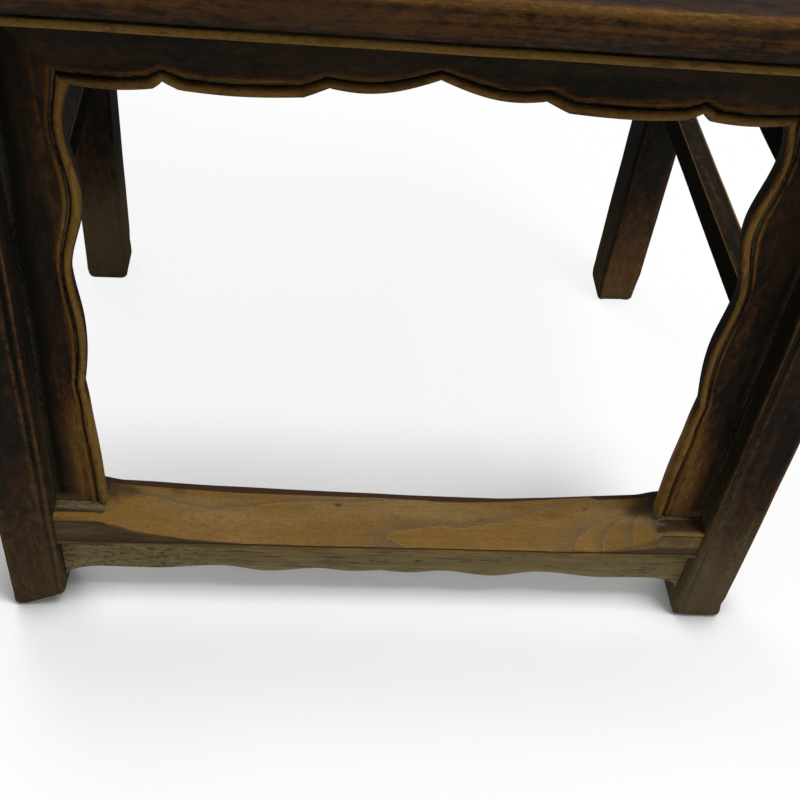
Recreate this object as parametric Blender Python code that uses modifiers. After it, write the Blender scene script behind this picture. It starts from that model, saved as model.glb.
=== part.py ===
"""Yoke-back armchair: square legs that turn into round posts above a mitred seat frame.

Metres, Z up. Seen from the front, X runs to the right and Y runs from front to back, and left and
right are named from there. Pieces are drawn from the front face of the front legs, and the empty
`chair` then moves the middle of the chair's plan to the origin.
"""

import math

import bmesh
import bpy
from mathutils import Matrix, Vector

# Fit
GAP = 0.0003
OVERRUN = 0.004
BITE = 0.003

# Counts of straight steps in a curve
RING_SIDES = 20
CREST_SIDES = 16
TUBE_RESOLUTION = 6
POST_STEPS = 4
ARM_STEPS = 6
EDGE_STEPS = 4
TOE_STEPS = 5

# Plan of the seat and the legs
SEAT_WIDTH = 0.604
SEAT_SIDE_OVERHANG = 0.012
SEAT_FRONT_OVERHANG = 0.012
SEAT_BACK_OVERHANG = 0.012
LEG_SPAN = 0.4568
BACK_SPLAY = 0.0033
FRONT_LEAN_SHARE = 0.008
FRONT_LEG_WIDTH = 0.0407
FRONT_LEG_DEPTH = 0.044
BACK_LEG_WIDTH = 0.0403
BACK_LEG_DEPTH = 0.0454
LEG_ARRIS = 0.0036
FOOT_CHAMFER = 0.0035
CORNER_BEAD = 0.0068
CORNER_GROOVE = 0.0018
CORNER_GROOVE_DEPTH = 0.0013

# Seat frame and its floating board
SEAT_HEIGHT = 0.534
SEAT_THICKNESS = 0.034
RAIL_WIDTH = 0.066
RAIL_UNDERCUT = 0.0085
RAIL_BEAD = 0.005
RAIL_BEAD_STEP = 0.0015
RAIL_EDGE = 0.011
RAIL_EASE = 0.0015
PANEL_GROOVE_DEPTH = 0.009
PANEL_TONGUE = 0.005
PANEL_TONGUE_DROP = 0.0083
PANEL_TONGUE_REACH = 0.008
PANEL_REVEAL = 0.0006
PANEL_SETBACK = 0.0008
CORNER_TENON_INSET = 0.0045
CORNER_TENON_WIDTH = 0.009
CORNER_TENON_HEIGHT = 0.010
CORNER_TENON_DROP = 0.018
CORNER_TENON_REACH = 0.026
BATTEN_SPACING = 0.260
BATTEN_WIDTH = 0.022
BATTEN_HEIGHT = 0.017
BATTEN_KEY_NECK = 0.016
BATTEN_KEY_WIDTH = 0.020
BATTEN_KEY_HEIGHT = 0.004
BATTEN_TENON_WIDTH = 0.010
BATTEN_TENON_HEIGHT = 0.011
BATTEN_TENON_REACH = 0.012

# Round posts above the seat
FRONT_POST_RADIUS = 0.015
FRONT_POST_TOP_RADIUS = 0.0125
NECK_BACK_SWEEP = 0.020
BACK_POST_RADIUS = 0.0165
BACK_POST_TOP_RADIUS = 0.0145
BACK_POST_RAKE = 0.078
BACK_POST_FORWARD = 0.006
BACK_POST_LEAN_IN = 0.012
POST_TENON_RADIUS = 0.007
POST_TENON_LENGTH = 0.013

# Yoke
CREST_HEIGHT = 1.104
CREST_END_OVERHANG = 0.018
CREST_BOW = 0.026
CREST_CROWN = 0.016
CREST_END_RISE = 0.020
CREST_END_SWEEP = 0.014
CREST_CENTRE_DEPTH = 0.027
CREST_CENTRE_HEIGHT = 0.046
CREST_POST_DIAMETER = 0.0345
CREST_END_DIAMETER = 0.028
CREST_END_ROUND = 0.006

# Splat
SPLAT_WIDTH_BOTTOM = 0.166
SPLAT_WIDTH_TOP = 0.148
SPLAT_THICKNESS = 0.0115
SPLAT_EASE = 0.002
SPLAT_LUMBAR = 0.012
SPLAT_HOUSING = 0.009
SPLAT_SEAT_HOUSING = 0.008

# Arms, their posts and brackets
ARM_HEIGHT = 0.742
ARM_RADIUS = 0.0155
ARM_REAR_RADIUS = 0.0135
ARM_OUT = 0.030
ARM_DROP = 0.012
ARM_FRONT_OVERHANG = 0.024
ARM_END_ROUND = 0.005
ARM_TENON_RADIUS = 0.0055
ARM_TENON_LENGTH = 0.011
NECK_SET_BACK = 0.062
SIDE_POST_RADIUS = 0.0115
SIDE_POST_TOP_RADIUS = 0.0085
SIDE_POST_TENON_RADIUS = 0.0055
SIDE_POST_TENON_LENGTH = 0.012
SIDE_POST_BULGE = 0.012
BRACKET_LENGTH = 0.050
BRACKET_THICKNESS = 0.009

# Boards under the seat
BOARD_SETBACK = 0.0182
BOARD_THICKNESS = 0.0137
BOARD_TONGUE = 0.005
BOARD_TONGUE_REACH = 0.005
BOARD_TONGUE_END = 0.010
SPANDREL_WIDTH = 0.0333
SPANDREL_LOBE = 0.014
MITRE_INSET = 0.013
MITRE_DROP = 0.0417
APRON_RISE = 0.016
APRON_DIP = 0.003
EDGE_BEAD = 0.0075
EDGE_BEAD_REACH = 0.0025
EDGE_BEAD_ROUND = 0.0042
EDGE_GROOVE = 0.002
EDGE_GROOVE_DEPTH = 0.0036
EDGE_RIDGE = 0.0014
EDGE_RIDGE_DEPTH = 0.0014
FIELD_DEPTH = 0.0022
SIDE_APRON_HEIGHT = 0.036
SIDE_BRACKET_HEIGHT = 0.072
SIDE_BRACKET_LENGTH = 0.060
SIDE_APRON_THICKNESS = 0.012

# Footrest and the board under it
FOOTREST_TOP = 0.1068
FOOTREST_BOTTOM = 0.0769
FOOTREST_SETBACK = 0.0029
FOOTREST_DEPTH = 0.0445
FOOTREST_LIP = 0.0036
FOOTREST_LIP_REACH = 0.0012
FOOTREST_EASE = 0.0015
FOOTREST_BACK_WEAR = 0.0148
FOOTREST_FRONT_WEAR = 0.0245
FOOTREST_TENON_DEPTH = 0.014
FOOTREST_TENON_HEIGHT = 0.018
FOOTREST_TENON_REACH = 0.024
FOOT_BOARD_SETBACK = 0.0116
FOOT_BOARD_THICKNESS = 0.014
FOOT_BOARD_EDGE = 0.0390
FOOT_BOARD_WAVE = 0.0032
FOOT_BOARD_TOE = 0.0251
FOOT_BOARD_TOE_LENGTH = 0.030
FOOT_BOARD_TONGUE = 0.005
FOOT_BOARD_TONGUE_REACH = 0.005

# Stretchers
STRETCHER_WIDTH = 0.0198
STRETCHER_HEIGHT = 0.0246
STRETCHER_EASE = 0.002
SIDE_LOWER_DROP = 0.2617
SIDE_UPPER_DROP = 0.140
BACK_STRETCHER_DROP = 0.210
STRETCHER_TENON_WIDTH = 0.008
STRETCHER_TENON_HEIGHT = 0.017
STRETCHER_TENON_REACH = 0.020

# Shares along a piece, and shares of the size named with them
SPANDREL_LOBE_SHARES = (
    (0.000, 0.23, False),
    (0.120, 0.26, False),
    (0.346, 0.03, True),
    (0.486, 0.46, False),
    (0.623, 0.18, False),
    (0.786, 0.99, False),
    (0.920, 0.52, False),
    (1.000, 0.93, True),
)
APRON_LOBE_SHARES = (
    (0.000, 0.00, True),
    (0.120, -0.60, False),
    (0.255, 0.30, True),
    (0.460, -0.55, False),
    (0.700, 0.42, True),
    (0.790, 0.30, False),
    (1.000, 1.00, True),
)
FOOT_BOARD_WAVE_SHARES = (
    (0.00, 0.25, True),
    (0.11, -0.45, False),
    (0.23, 0.50, False),
    (0.41, -1.00, False),
    (0.59, 0.95, False),
    (0.83, -0.60, False),
    (1.00, -0.50, False),
)
FOOTREST_BACK_WEAR_SHARES = (
    (-1.00, 0.00),
    (-0.87, 0.00),
    (-0.84, 0.28),
    (-0.55, 0.55),
    (-0.24, 0.75),
    (0.08, 0.92),
    (0.38, 1.00),
    (0.54, 0.80),
    (0.83, 0.34),
    (0.87, 0.00),
    (1.00, 0.00),
)
FOOTREST_FRONT_WEAR_SHARES = (
    (-1.00, 0.00),
    (-0.87, 0.00),
    (-0.76, 0.46),
    (-0.63, 0.78),
    (-0.47, 0.97),
    (0.00, 1.00),
    (0.38, 1.00),
    (0.70, 0.94),
    (0.80, 0.55),
    (0.87, 0.00),
    (1.00, 0.00),
)
NECK_KNOT_SHARES = ((0.30, 0.08, 0.62), (0.66, 0.50, 0.90))
BACK_POST_KNOT_SHARES = ((0.22, 0.08), (0.50, 0.16), (0.78, 0.58))
ARM_KNOT_SHARES = (
    (0.24, 0.62, 0.35, 0.94),
    (0.52, 0.86, 0.05, 1.00),
    (0.78, 0.72, 0.00, 1.00),
    (0.90, 0.80, 0.10, 0.98),
    (1.00, 1.30, 0.00, 0.94),
)
SPLAT_KNOT_SHARES = ((0.28, -0.75, 0.02), (0.55, -0.20, 0.22), (0.80, 0.15, 0.66))
SIDE_POST_KNOT_SHARES = ((0.35, 0.75), (0.70, 0.80))
CREST_RING_SHARES = (0.0, 0.12, 0.24, 0.36, 0.48, 0.60, 0.71, 0.81, 0.90, 0.96)
CREST_PILLOW_SHARE = 0.26
CREST_SHOULDER_SHARE = 0.66
BRACKET_DROP_SHARE = 0.408456
BRACKET_EDGE_SHARES = (
    (1.00, 0.00),
    (0.96, 0.16),
    (0.72, 0.24),
    (0.50, 0.30),
    (0.40, 0.46),
    (0.27, 0.54),
    (0.20, 0.78),
    (0.16, 1.00),
    (0.00, 1.00),
)
SIDE_POST_SHARE = 0.44

# Derived widths, heights and places
FRONT_WIDTH = SEAT_WIDTH - 2 * SEAT_SIDE_OVERHANG
BACK_WIDTH = FRONT_WIDTH + 2 * BACK_SPLAY
OPENING_HALF_WIDTH = FRONT_WIDTH / 2 - FRONT_LEG_WIDTH - SPANDREL_WIDTH
MITRE_HALF_WIDTH = OPENING_HALF_WIDTH - MITRE_INSET
CREST_LENGTH = SEAT_WIDTH + 2 * CREST_END_OVERHANG
SEAT_UNDERSIDE = SEAT_HEIGHT - SEAT_THICKNESS
SHOULDER_HEIGHT = SEAT_UNDERSIDE - GAP
BOARD_TOP = SEAT_UNDERSIDE - GAP
MITRE_HEIGHT = BOARD_TOP - MITRE_DROP
SIDE_LOWER_BOTTOM = SEAT_UNDERSIDE - SIDE_LOWER_DROP
SIDE_UPPER_BOTTOM = SEAT_UNDERSIDE - SIDE_UPPER_DROP
BACK_STRETCHER_BOTTOM = SEAT_UNDERSIDE - BACK_STRETCHER_DROP
BACK_LEG_FRONT = LEG_SPAN - BACK_LEG_DEPTH
FRONT_POST_Y = FRONT_LEG_DEPTH / 2
BACK_POST_Y = LEG_SPAN - BACK_LEG_DEPTH / 2
BACK_POST_X = (BACK_WIDTH - BACK_LEG_WIDTH) / 2
SEAT_FRONT_Y = -SEAT_FRONT_OVERHANG
SEAT_BACK_Y = LEG_SPAN + SEAT_BACK_OVERHANG
SEAT_SIDE_X = SEAT_WIDTH / 2
CREST_POST_X = BACK_POST_X - BACK_POST_LEAN_IN
CREST_POST_Y = BACK_POST_Y + BACK_POST_RAKE
CREST_POST_SHARE = 2 * CREST_POST_X / CREST_LENGTH
PANEL_TOP_GROOVE = SEAT_HEIGHT - PANEL_TONGUE_DROP + GAP
PANEL_UNDERSIDE = PANEL_TOP_GROOVE - GAP - PANEL_TONGUE
PLAN_BACK_Y = CREST_POST_Y + CREST_BOW + CREST_CENTRE_DEPTH / 2
PLAN_FRONT_Y = -ARM_FRONT_OVERHANG - ARM_END_ROUND
PLAN_MIDDLE = (PLAN_BACK_Y + PLAN_FRONT_Y) / 2

DARK_LACQUER = (0.050, 0.027, 0.016, 1.0)
BROWN_LACQUER = (0.105, 0.052, 0.026, 1.0)
WORN_WOOD = (0.420, 0.230, 0.095, 1.0)
DUSTY_WOOD = (0.200, 0.150, 0.085, 1.0)
LACQUER_ROUGHNESS = 0.42
WORN_ROUGHNESS = 0.55

X_AXIS = Vector((1, 0, 0))
Y_AXIS = Vector((0, 1, 0))
Z_AXIS = Vector((0, 0, 1))


def clear_scene():
    for item in list(bpy.data.objects):
        bpy.data.objects.remove(item, do_unlink=True)


def new_collection(name):
    collection = bpy.data.collections.new(name)
    bpy.context.scene.collection.children.link(collection)
    return collection


clear_scene()
PARTS = new_collection("yoke_back_armchair")
CUTTERS = new_collection("cutters")
CHAIR = bpy.data.objects.new("chair", None)
PARTS.objects.link(CHAIR)
CHAIR.location = (0, -PLAN_MIDDLE, 0)


# Objects and materials


def finish(item, colour, roughness):
    material = bpy.data.materials.new(item.name + "_finish")
    material.use_nodes = True
    shader = material.node_tree.nodes["Principled BSDF"]
    shader.inputs["Base Color"].default_value = colour
    shader.inputs["Roughness"].default_value = roughness
    shader.inputs["Metallic"].default_value = 0
    item.data.materials.clear()
    item.data.materials.append(material)


def add_object(name, mesh, origin, collection):
    """An object whose mesh was drawn in chair coordinates, with its origin moved to `origin`."""
    origin = Vector(origin)
    mesh.transform(Matrix.Translation(-origin))
    item = bpy.data.objects.new(name, mesh)
    item.location = origin
    item.parent = CHAIR
    collection.objects.link(item)
    return item


def add_part(name, mesh, origin, colour, roughness=LACQUER_ROUGHNESS):
    item = add_object(name, mesh, origin, PARTS)
    finish(item, colour, roughness)
    return item


def add_tool(name, mesh):
    item = add_object(name, mesh, (0, 0, 0), CUTTERS)
    item.hide_render = True
    item.display_type = "WIRE"
    return item


def boolean(target, tool, operation):
    modifier = target.modifiers.new(tool.name, "BOOLEAN")
    modifier.operation = operation
    modifier.object = tool
    modifier.solver = "EXACT"


def cut(target, mesh):
    boolean(target, add_tool(target.name + "_cut", mesh), "DIFFERENCE")


def join(target, mesh):
    boolean(target, add_tool(target.name + "_tenon", mesh), "UNION")


def mirrored(mesh):
    copy = mesh.copy()
    copy.transform(Matrix.Scale(-1, 4, X_AXIS))
    copy.flip_normals()
    return copy


def cut_both_sides(target, mesh):
    copy = mirrored(mesh)
    cut(target, mesh)
    cut(target, copy)


def join_both_sides(target, mesh):
    copy = mirrored(mesh)
    join(target, mesh)
    join(target, copy)


def solid_of(item):
    """The item's mesh with its modifiers, in its own coordinates."""
    graph = bpy.context.evaluated_depsgraph_get()
    return bpy.data.meshes.new_from_object(item.evaluated_get(graph))


def add_left(right, name, colour, roughness=LACQUER_ROUGHNESS):
    """The left-hand copy of a finished right-hand part."""
    bpy.context.view_layer.update()
    left = bpy.data.objects.new(name, mirrored(solid_of(right)))
    left.location = (-right.location.x, right.location.y, right.location.z)
    left.parent = CHAIR
    PARTS.objects.link(left)
    finish(left, colour, roughness)
    return left


# Shapes


def mesh_from(bm, name):
    bmesh.ops.recalc_face_normals(bm, faces=bm.faces)
    mesh = bpy.data.meshes.new(name)
    bm.to_mesh(mesh)
    bm.free()
    return mesh


def loft(name, rings):
    """One closed body through rings of equal point counts, with flat ends."""
    bm = bmesh.new()
    loops = [[bm.verts.new(point) for point in ring] for ring in rings]
    count = len(rings[0])
    for lower, upper in zip(loops, loops[1:]):
        for index in range(count):
            after = (index + 1) % count
            bm.faces.new((lower[index], lower[after], upper[after], upper[index]))
    bm.faces.new(list(reversed(loops[0])))
    bm.faces.new(loops[-1])
    return mesh_from(bm, name)


def box(name, low, high):
    low = Vector(low)
    high = Vector(high)
    size = high - low
    bm = bmesh.new()
    bmesh.ops.create_cube(bm, size=1)
    bmesh.ops.scale(bm, vec=size, verts=bm.verts)
    bmesh.ops.translate(bm, vec=(low + high) / 2, verts=bm.verts)
    return mesh_from(bm, name)


def grown_box(name, low, high):
    """The box with the fit's clearance on every side."""
    margin = Vector((GAP, GAP, GAP))
    return box(name, Vector(low) - margin, Vector(high) + margin)


def turned_to(direction, point):
    """Matrix that stands local Z along the direction at the point, with local X kept near X."""
    up = direction.normalized()
    across = (X_AXIS - up * X_AXIS.dot(up)).normalized()
    forward = up.cross(across)
    turn = Matrix((across, forward, up)).transposed().to_4x4()
    return Matrix.Translation(point) @ turn


def rod(name, start, direction, length, radius):
    """A round bar that encloses the radius, from start along the direction."""
    wide = radius / math.cos(math.pi / RING_SIDES)
    bm = bmesh.new()
    bmesh.ops.create_cone(
        bm, cap_ends=True, segments=RING_SIDES, radius1=wide, radius2=wide, depth=length,
        matrix=turned_to(direction, Vector(start) + direction.normalized() * length / 2),
    )
    return mesh_from(bm, name)


def tilted_box(name, centre, size, direction):
    bm = bmesh.new()
    bmesh.ops.create_cube(bm, size=1)
    bmesh.ops.scale(bm, vec=size, verts=bm.verts)
    bmesh.ops.transform(bm, matrix=turned_to(direction, centre), verts=bm.verts)
    return mesh_from(bm, name)


def board(name, outline, thickness, placing):
    """A flat board: its outline lies in local X and Y, and its thickness runs both ways along local Z."""
    curve = bpy.data.curves.new(name, "CURVE")
    curve.dimensions = "2D"
    curve.fill_mode = "BOTH"
    curve.extrude = thickness / 2
    spline = curve.splines.new("POLY")
    spline.points.add(len(outline) - 1)
    for point, (u, v) in zip(spline.points, outline):
        point.co = (u, v, 0, 1)
    spline.use_cyclic_u = True
    return mesh_of_curve(name, curve, placing)


def mesh_of_curve(name, curve, placing=None):
    carrier = bpy.data.objects.new(name + "_curve", curve)
    CUTTERS.objects.link(carrier)
    bpy.context.view_layer.update()
    mesh = solid_of(carrier)
    bpy.data.objects.remove(carrier, do_unlink=True)
    bpy.data.curves.remove(curve)
    bm = bmesh.new()
    bm.from_mesh(mesh)
    bmesh.ops.remove_doubles(bm, verts=bm.verts, dist=GAP / 10)
    if placing is not None:
        bmesh.ops.transform(bm, matrix=placing, verts=bm.verts)
    bpy.data.meshes.remove(mesh)
    return mesh_from(bm, name)


def tube(name, route, growth=0):
    """A round bar along a route of points that hold x, y, z and radius."""
    curve = bpy.data.curves.new(name, "CURVE")
    curve.dimensions = "3D"
    curve.bevel_depth = max(point[3] for point in route)
    curve.bevel_resolution = TUBE_RESOLUTION
    curve.use_fill_caps = True
    spline = curve.splines.new("POLY")
    spline.points.add(len(route) - 1)
    for point, (x, y, z, radius) in zip(spline.points, route):
        point.co = (x, y, z, 1)
        point.radius = (radius + growth) / curve.bevel_depth
    return mesh_of_curve(name, curve)


def smooth_route(knots, steps, foot=None):
    """Points on a smooth curve through the knots, after a straight run up from the foot if there is one."""
    ends = [foot or 2 * knots[0] - knots[1]] + list(knots) + [2 * knots[-1] - knots[-2]]
    route = [foot] if foot else []
    for a, b, c, d in zip(ends, ends[1:], ends[2:], ends[3:]):
        for step in range(steps):
            t = step / steps
            square = 2 * a - 5 * b + 4 * c - d
            cube = 3 * b - a - 3 * c + d
            route.append((2 * b + (c - a) * t + square * t**2 + cube * t**3) / 2)
    route.append(knots[-1].copy())
    return route


def heading(route, index):
    before = route[max(index - 1, 0)].xyz
    after = route[min(index + 1, len(route) - 1)].xyz
    return (after - before).normalized()


def round_ring(point, direction, radius):
    """Evenly spaced points whose order matches square_ring."""
    frame = turned_to(direction, point)
    turn = 2 * math.pi / RING_SIDES
    start = turn * (RING_SIDES // 4 / 2 + 1 / 2)
    angles = [start + turn * index for index in range(RING_SIDES)]
    return [frame @ Vector((radius * math.cos(angle), radius * math.sin(angle), 0)) for angle in angles]


def side_marks(length, beaded):
    """Where the three points between two corners lie, and how deep: level, or a bead's groove."""
    if not beaded:
        return [(length / 4, 0), (length / 2, 0), (length * 3 / 4, 0)]
    start = CORNER_BEAD - LEG_ARRIS
    return [(start, 0), (start + CORNER_GROOVE / 2, CORNER_GROOVE_DEPTH), (start + CORNER_GROOVE, 0)]


def square_ring(centre, width, depth, inset=0, beads=False):
    """Twenty points round a chamfered square: back, -X, front and +X side, five on each."""
    ring = []
    half_width = width / 2
    half_depth = depth / 2
    sides = (
        (Y_AXIS, -X_AXIS, half_depth, half_width, None),
        (-X_AXIS, -Y_AXIS, half_width, half_depth, "end"),
        (-Y_AXIS, X_AXIS, half_depth, half_width, "start"),
        (X_AXIS, Y_AXIS, half_width, half_depth, None),
    )
    for outward, along, reach, half, bead in sides:
        length = 2 * (half - LEG_ARRIS)
        marks = side_marks(length, beads and bead)
        if beads and bead == "end":
            marks = [(length - place, sunk) for place, sunk in reversed(marks)]
        for place, sunk in [(0, 0)] + marks + [(length, 0)]:
            offset = place - length / 2
            offset *= (half - LEG_ARRIS - inset) / (half - LEG_ARRIS)
            ring.append(Vector(centre) + outward * (reach - inset - sunk) + along * offset)
    return ring


def eased(share, leaves_sharp, arrives_sharp):
    """Share of a rise between two marks, level at each mark that isn't a sharp one."""
    if leaves_sharp and arrives_sharp:
        return share
    if leaves_sharp:
        return math.sin(share * math.pi / 2)
    if arrives_sharp:
        return 1 - math.cos(share * math.pi / 2)
    return (1 - math.cos(share * math.pi)) / 2


def wavy_edge(marks):
    """(along, offset, sharp) shares with the smooth stretches between the marks filled in."""
    edge = []
    for (start, low, first_sharp), (end, high, last_sharp) in zip(marks, marks[1:]):
        for step in range(EDGE_STEPS):
            part = step / EDGE_STEPS
            along = start + (end - start) * part
            offset = low + (high - low) * eased(part, first_sharp, last_sharp)
            edge.append((along, offset))
    edge.append(marks[-1][:2])
    return edge


def level_between(marks, place):
    """Value at a place, straight between hand-set marks."""
    for (start, low), (end, high) in zip(marks, marks[1:]):
        if place <= end:
            return low + (high - low) * (place - start) / (end - start)
    return marks[-1][1]


# Legs and posts


def front_leg_x(height):
    """Middle of the right front leg, which leans in a little."""
    return (FRONT_WIDTH - FRONT_LEG_WIDTH) / 2 - FRONT_LEAN_SHARE * height


def front_leg_inner_x(height):
    return front_leg_x(height) - FRONT_LEG_WIDTH / 2


FRONT_POST_X = front_leg_x(SHOULDER_HEIGHT)


def socket_drop(bar_radius, post_radius):
    """How far below a round bar's middle a round post's flat shoulder lies to be all inside it."""
    reach = post_radius + 3 * GAP
    return math.sqrt(max(bar_radius**2 - reach**2, GAP**2)) - GAP


def back_post_route():
    """Middle line of the right back post, up to its shoulder in the underside of the yoke."""
    foot = Vector((BACK_POST_X, BACK_POST_Y, SEAT_UNDERSIDE, BACK_POST_RADIUS))
    base = Vector((BACK_POST_X, BACK_POST_Y, SEAT_HEIGHT, BACK_POST_RADIUS))
    top = Vector((CREST_POST_X, CREST_POST_Y, CREST_HEIGHT, BACK_POST_TOP_RADIUS))
    rise = top - base
    knots = [base]
    for up, back in BACK_POST_KNOT_SHARES:
        knot = base + rise * up
        knot.y = BACK_POST_Y + BACK_POST_RAKE * back - BACK_POST_FORWARD * math.sin(math.pi * up)
        knots.append(knot)
    knots.append(top)
    route = smooth_route(knots, POST_STEPS, foot)
    drop = socket_drop(CREST_POST_DIAMETER / 2, BACK_POST_TOP_RADIUS)
    route[-1] = top.lerp(route[-2], drop / (top.z - route[-2].z))
    return route


BACK_POST_ROUTE = back_post_route()


def arm_route():
    """Middle line of the right arm, from the axis of the back post to the tip."""
    joint = min(BACK_POST_ROUTE, key=lambda point: abs(point.z - ARM_HEIGHT))
    knots = [Vector((joint.x, joint.y, ARM_HEIGHT, ARM_REAR_RADIUS))]
    for along, out, high, wide in ARM_KNOT_SHARES:
        y = joint.y - (joint.y + ARM_FRONT_OVERHANG) * along
        z = ARM_HEIGHT - ARM_DROP * (1 - high)
        knots.append(Vector((joint.x + ARM_OUT * out, y, z, ARM_RADIUS * wide)))
    route = smooth_route(knots, ARM_STEPS)
    end = route[-1]
    forward = (end - route[-2]).xyz.normalized()
    for share in (1 / 2, 1):
        point = end.copy()
        point.xyz = end.xyz + forward * ARM_END_ROUND * math.sin(share * math.pi / 2)
        point.w = end.w - ARM_END_ROUND * (1 - math.cos(share * math.pi / 2))
        route.append(point)
    return route


ARM_ROUTE = arm_route()


def on_arm(y):
    """Point of the arm's middle line at this y."""
    for before, after in zip(ARM_ROUTE, ARM_ROUTE[1:]):
        if after.y <= y <= before.y:
            return before.lerp(after, (before.y - y) / (before.y - after.y))
    return ARM_ROUTE[0]


def neck_route():
    foot = Vector((FRONT_POST_X, FRONT_POST_Y, SEAT_UNDERSIDE, FRONT_POST_RADIUS))
    base = Vector((FRONT_POST_X, FRONT_POST_Y, SEAT_HEIGHT, FRONT_POST_RADIUS))
    top = on_arm(NECK_SET_BACK - ARM_FRONT_OVERHANG).copy()
    bar_radius = top.w
    top.z -= socket_drop(bar_radius, FRONT_POST_TOP_RADIUS)
    top.w = FRONT_POST_TOP_RADIUS
    rise = top - base
    knots = [base]
    for up, out, back in NECK_KNOT_SHARES:
        knot = base + rise * up
        knot.x = base.x + rise.x * out
        knot.y = base.y + rise.y * out + NECK_BACK_SWEEP * back
        knots.append(knot)
    knots.append(top)
    return smooth_route(knots, POST_STEPS, foot)


NECK_ROUTE = neck_route()


def post_mesh(name, foot_rings, route):
    """Square leg rings, then the round post along the route, then its tenon."""
    rings = list(foot_rings)
    rings.append(round_ring(Vector((route[0].x, route[0].y, SHOULDER_HEIGHT)), Z_AXIS, route[0].w))
    for index in range(1, len(route)):
        upward = Z_AXIS if route[index].z <= SEAT_HEIGHT else heading(route, index)
        rings.append(round_ring(route[index].xyz, upward, route[index].w))
    end = route[-1].xyz
    rings.append(round_ring(end, upward, POST_TENON_RADIUS))
    rings.append(round_ring(end + upward * POST_TENON_LENGTH, upward, POST_TENON_RADIUS))
    return loft(name, rings)


def socket_tools(route, tenon_radius, tenon_length):
    """Cutters for the seat of a post's shoulder and for the hole of its tenon."""
    end = route[-1].xyz
    upward = heading(route, len(route) - 1)
    run = 3 * ARM_RADIUS
    seat = rod("post_seat", end + upward * (GAP - run), upward, run, route[-1].w + GAP)
    depth = BITE + tenon_length + GAP
    hole = rod("tenon_hole", end - upward * BITE, upward, depth, tenon_radius + GAP)
    return seat, hole


def crest_middle(share):
    """Middle of the yoke at a signed share of its half length."""
    reach = abs(share)
    y = CREST_POST_Y
    z = CREST_HEIGHT
    if reach < CREST_POST_SHARE:
        swell = (1 + math.cos(math.pi * reach / CREST_POST_SHARE)) / 2
        y += CREST_BOW * swell
        z += CREST_CROWN * swell
    else:
        past = (reach - CREST_POST_SHARE) / (1 - CREST_POST_SHARE)
        y += CREST_END_SWEEP * past**2
        z += CREST_END_RISE * past**2
    return Vector((share * CREST_LENGTH / 2, y, z))


def blend(low, high, share):
    share = min(max(share, 0), 1)
    share = share * share * (3 - 2 * share)
    return low + (high - low) * share


def crest_size(share):
    """Depth and height of the yoke: tall at the headrest, round at the posts, slimmer at the ends."""
    reach = abs(share)
    if reach < CREST_POST_SHARE:
        part = (reach - CREST_PILLOW_SHARE) / (CREST_SHOULDER_SHARE - CREST_PILLOW_SHARE)
        depth = blend(CREST_CENTRE_DEPTH, CREST_POST_DIAMETER, part)
        return depth, blend(CREST_CENTRE_HEIGHT, CREST_POST_DIAMETER, part)
    past = (reach - CREST_POST_SHARE) / (1 - CREST_POST_SHARE)
    size = blend(CREST_POST_DIAMETER, CREST_END_DIAMETER, past)
    return size, size


def crest_ring(share, shrink=0):
    middle = crest_middle(share)
    depth, height = crest_size(share)
    ring = []
    for index in range(CREST_SIDES):
        angle = 2 * math.pi * (index + 1 / 2) / CREST_SIDES
        y = (depth / 2 - shrink) * math.cos(angle)
        z = (height / 2 - shrink) * math.sin(angle)
        ring.append(middle + Vector((0, y, z)))
    return ring


def tenon_marks(centre, size):
    """Two opposite corners of a box."""
    half = Vector(size) / 2
    return Vector(centre) - half, Vector(centre) + half


def make_legs():
    heights = ((0, FOOT_CHAMFER), (FOOT_CHAMFER, 0), (SHOULDER_HEIGHT, 0))
    feet = []
    for height, inset in heights:
        middle = (front_leg_x(height), FRONT_POST_Y, height)
        feet.append(square_ring(middle, FRONT_LEG_WIDTH, FRONT_LEG_DEPTH, inset, beads=True))
    mesh = post_mesh("front_post_right", feet, NECK_ROUTE)
    front = add_part("front_post_right", mesh, (front_leg_x(0), FRONT_POST_Y, 0), BROWN_LACQUER)
    feet = []
    for height, inset in heights:
        middle = (BACK_POST_X, BACK_POST_Y, height)
        feet.append(square_ring(middle, BACK_LEG_WIDTH, BACK_LEG_DEPTH, inset))
    mesh = post_mesh("back_post_right", feet, BACK_POST_ROUTE)
    back = add_part("back_post_right", mesh, (BACK_POST_X, BACK_POST_Y, 0), BROWN_LACQUER)
    return front, back


# Seat frame


def rail_outline():
    """Section of a seat rail: u runs out from its inner edge, v up from its underside."""
    lip = RAIL_WIDTH - RAIL_UNDERCUT
    bead_top = RAIL_BEAD + RAIL_BEAD_STEP
    edge_low = SEAT_THICKNESS - RAIL_EDGE
    outline = [(0, 0), (lip, 0), (lip + RAIL_BEAD_STEP, RAIL_BEAD / 2), (lip, RAIL_BEAD)]
    outline.append((lip - RAIL_BEAD_STEP, bead_top))
    for step in range(1, EDGE_STEPS + 1):
        angle = step * math.pi / 2 / EDGE_STEPS
        u = lip - RAIL_BEAD_STEP + (RAIL_UNDERCUT + RAIL_BEAD_STEP) * math.sin(angle)
        outline.append((u, edge_low - (edge_low - bead_top) * math.cos(angle)))
    outline.append((RAIL_WIDTH, SEAT_THICKNESS - RAIL_EASE))
    outline.append((RAIL_WIDTH - RAIL_EASE, SEAT_THICKNESS))
    groove_top = PANEL_TOP_GROOVE - SEAT_UNDERSIDE
    groove_low = PANEL_UNDERSIDE - GAP - SEAT_UNDERSIDE
    outline += [(0, SEAT_THICKNESS), (0, groove_top), (PANEL_GROOVE_DEPTH, groove_top)]
    outline += [(PANEL_GROOVE_DEPTH, groove_low), (0, groove_low)]
    return outline


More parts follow.
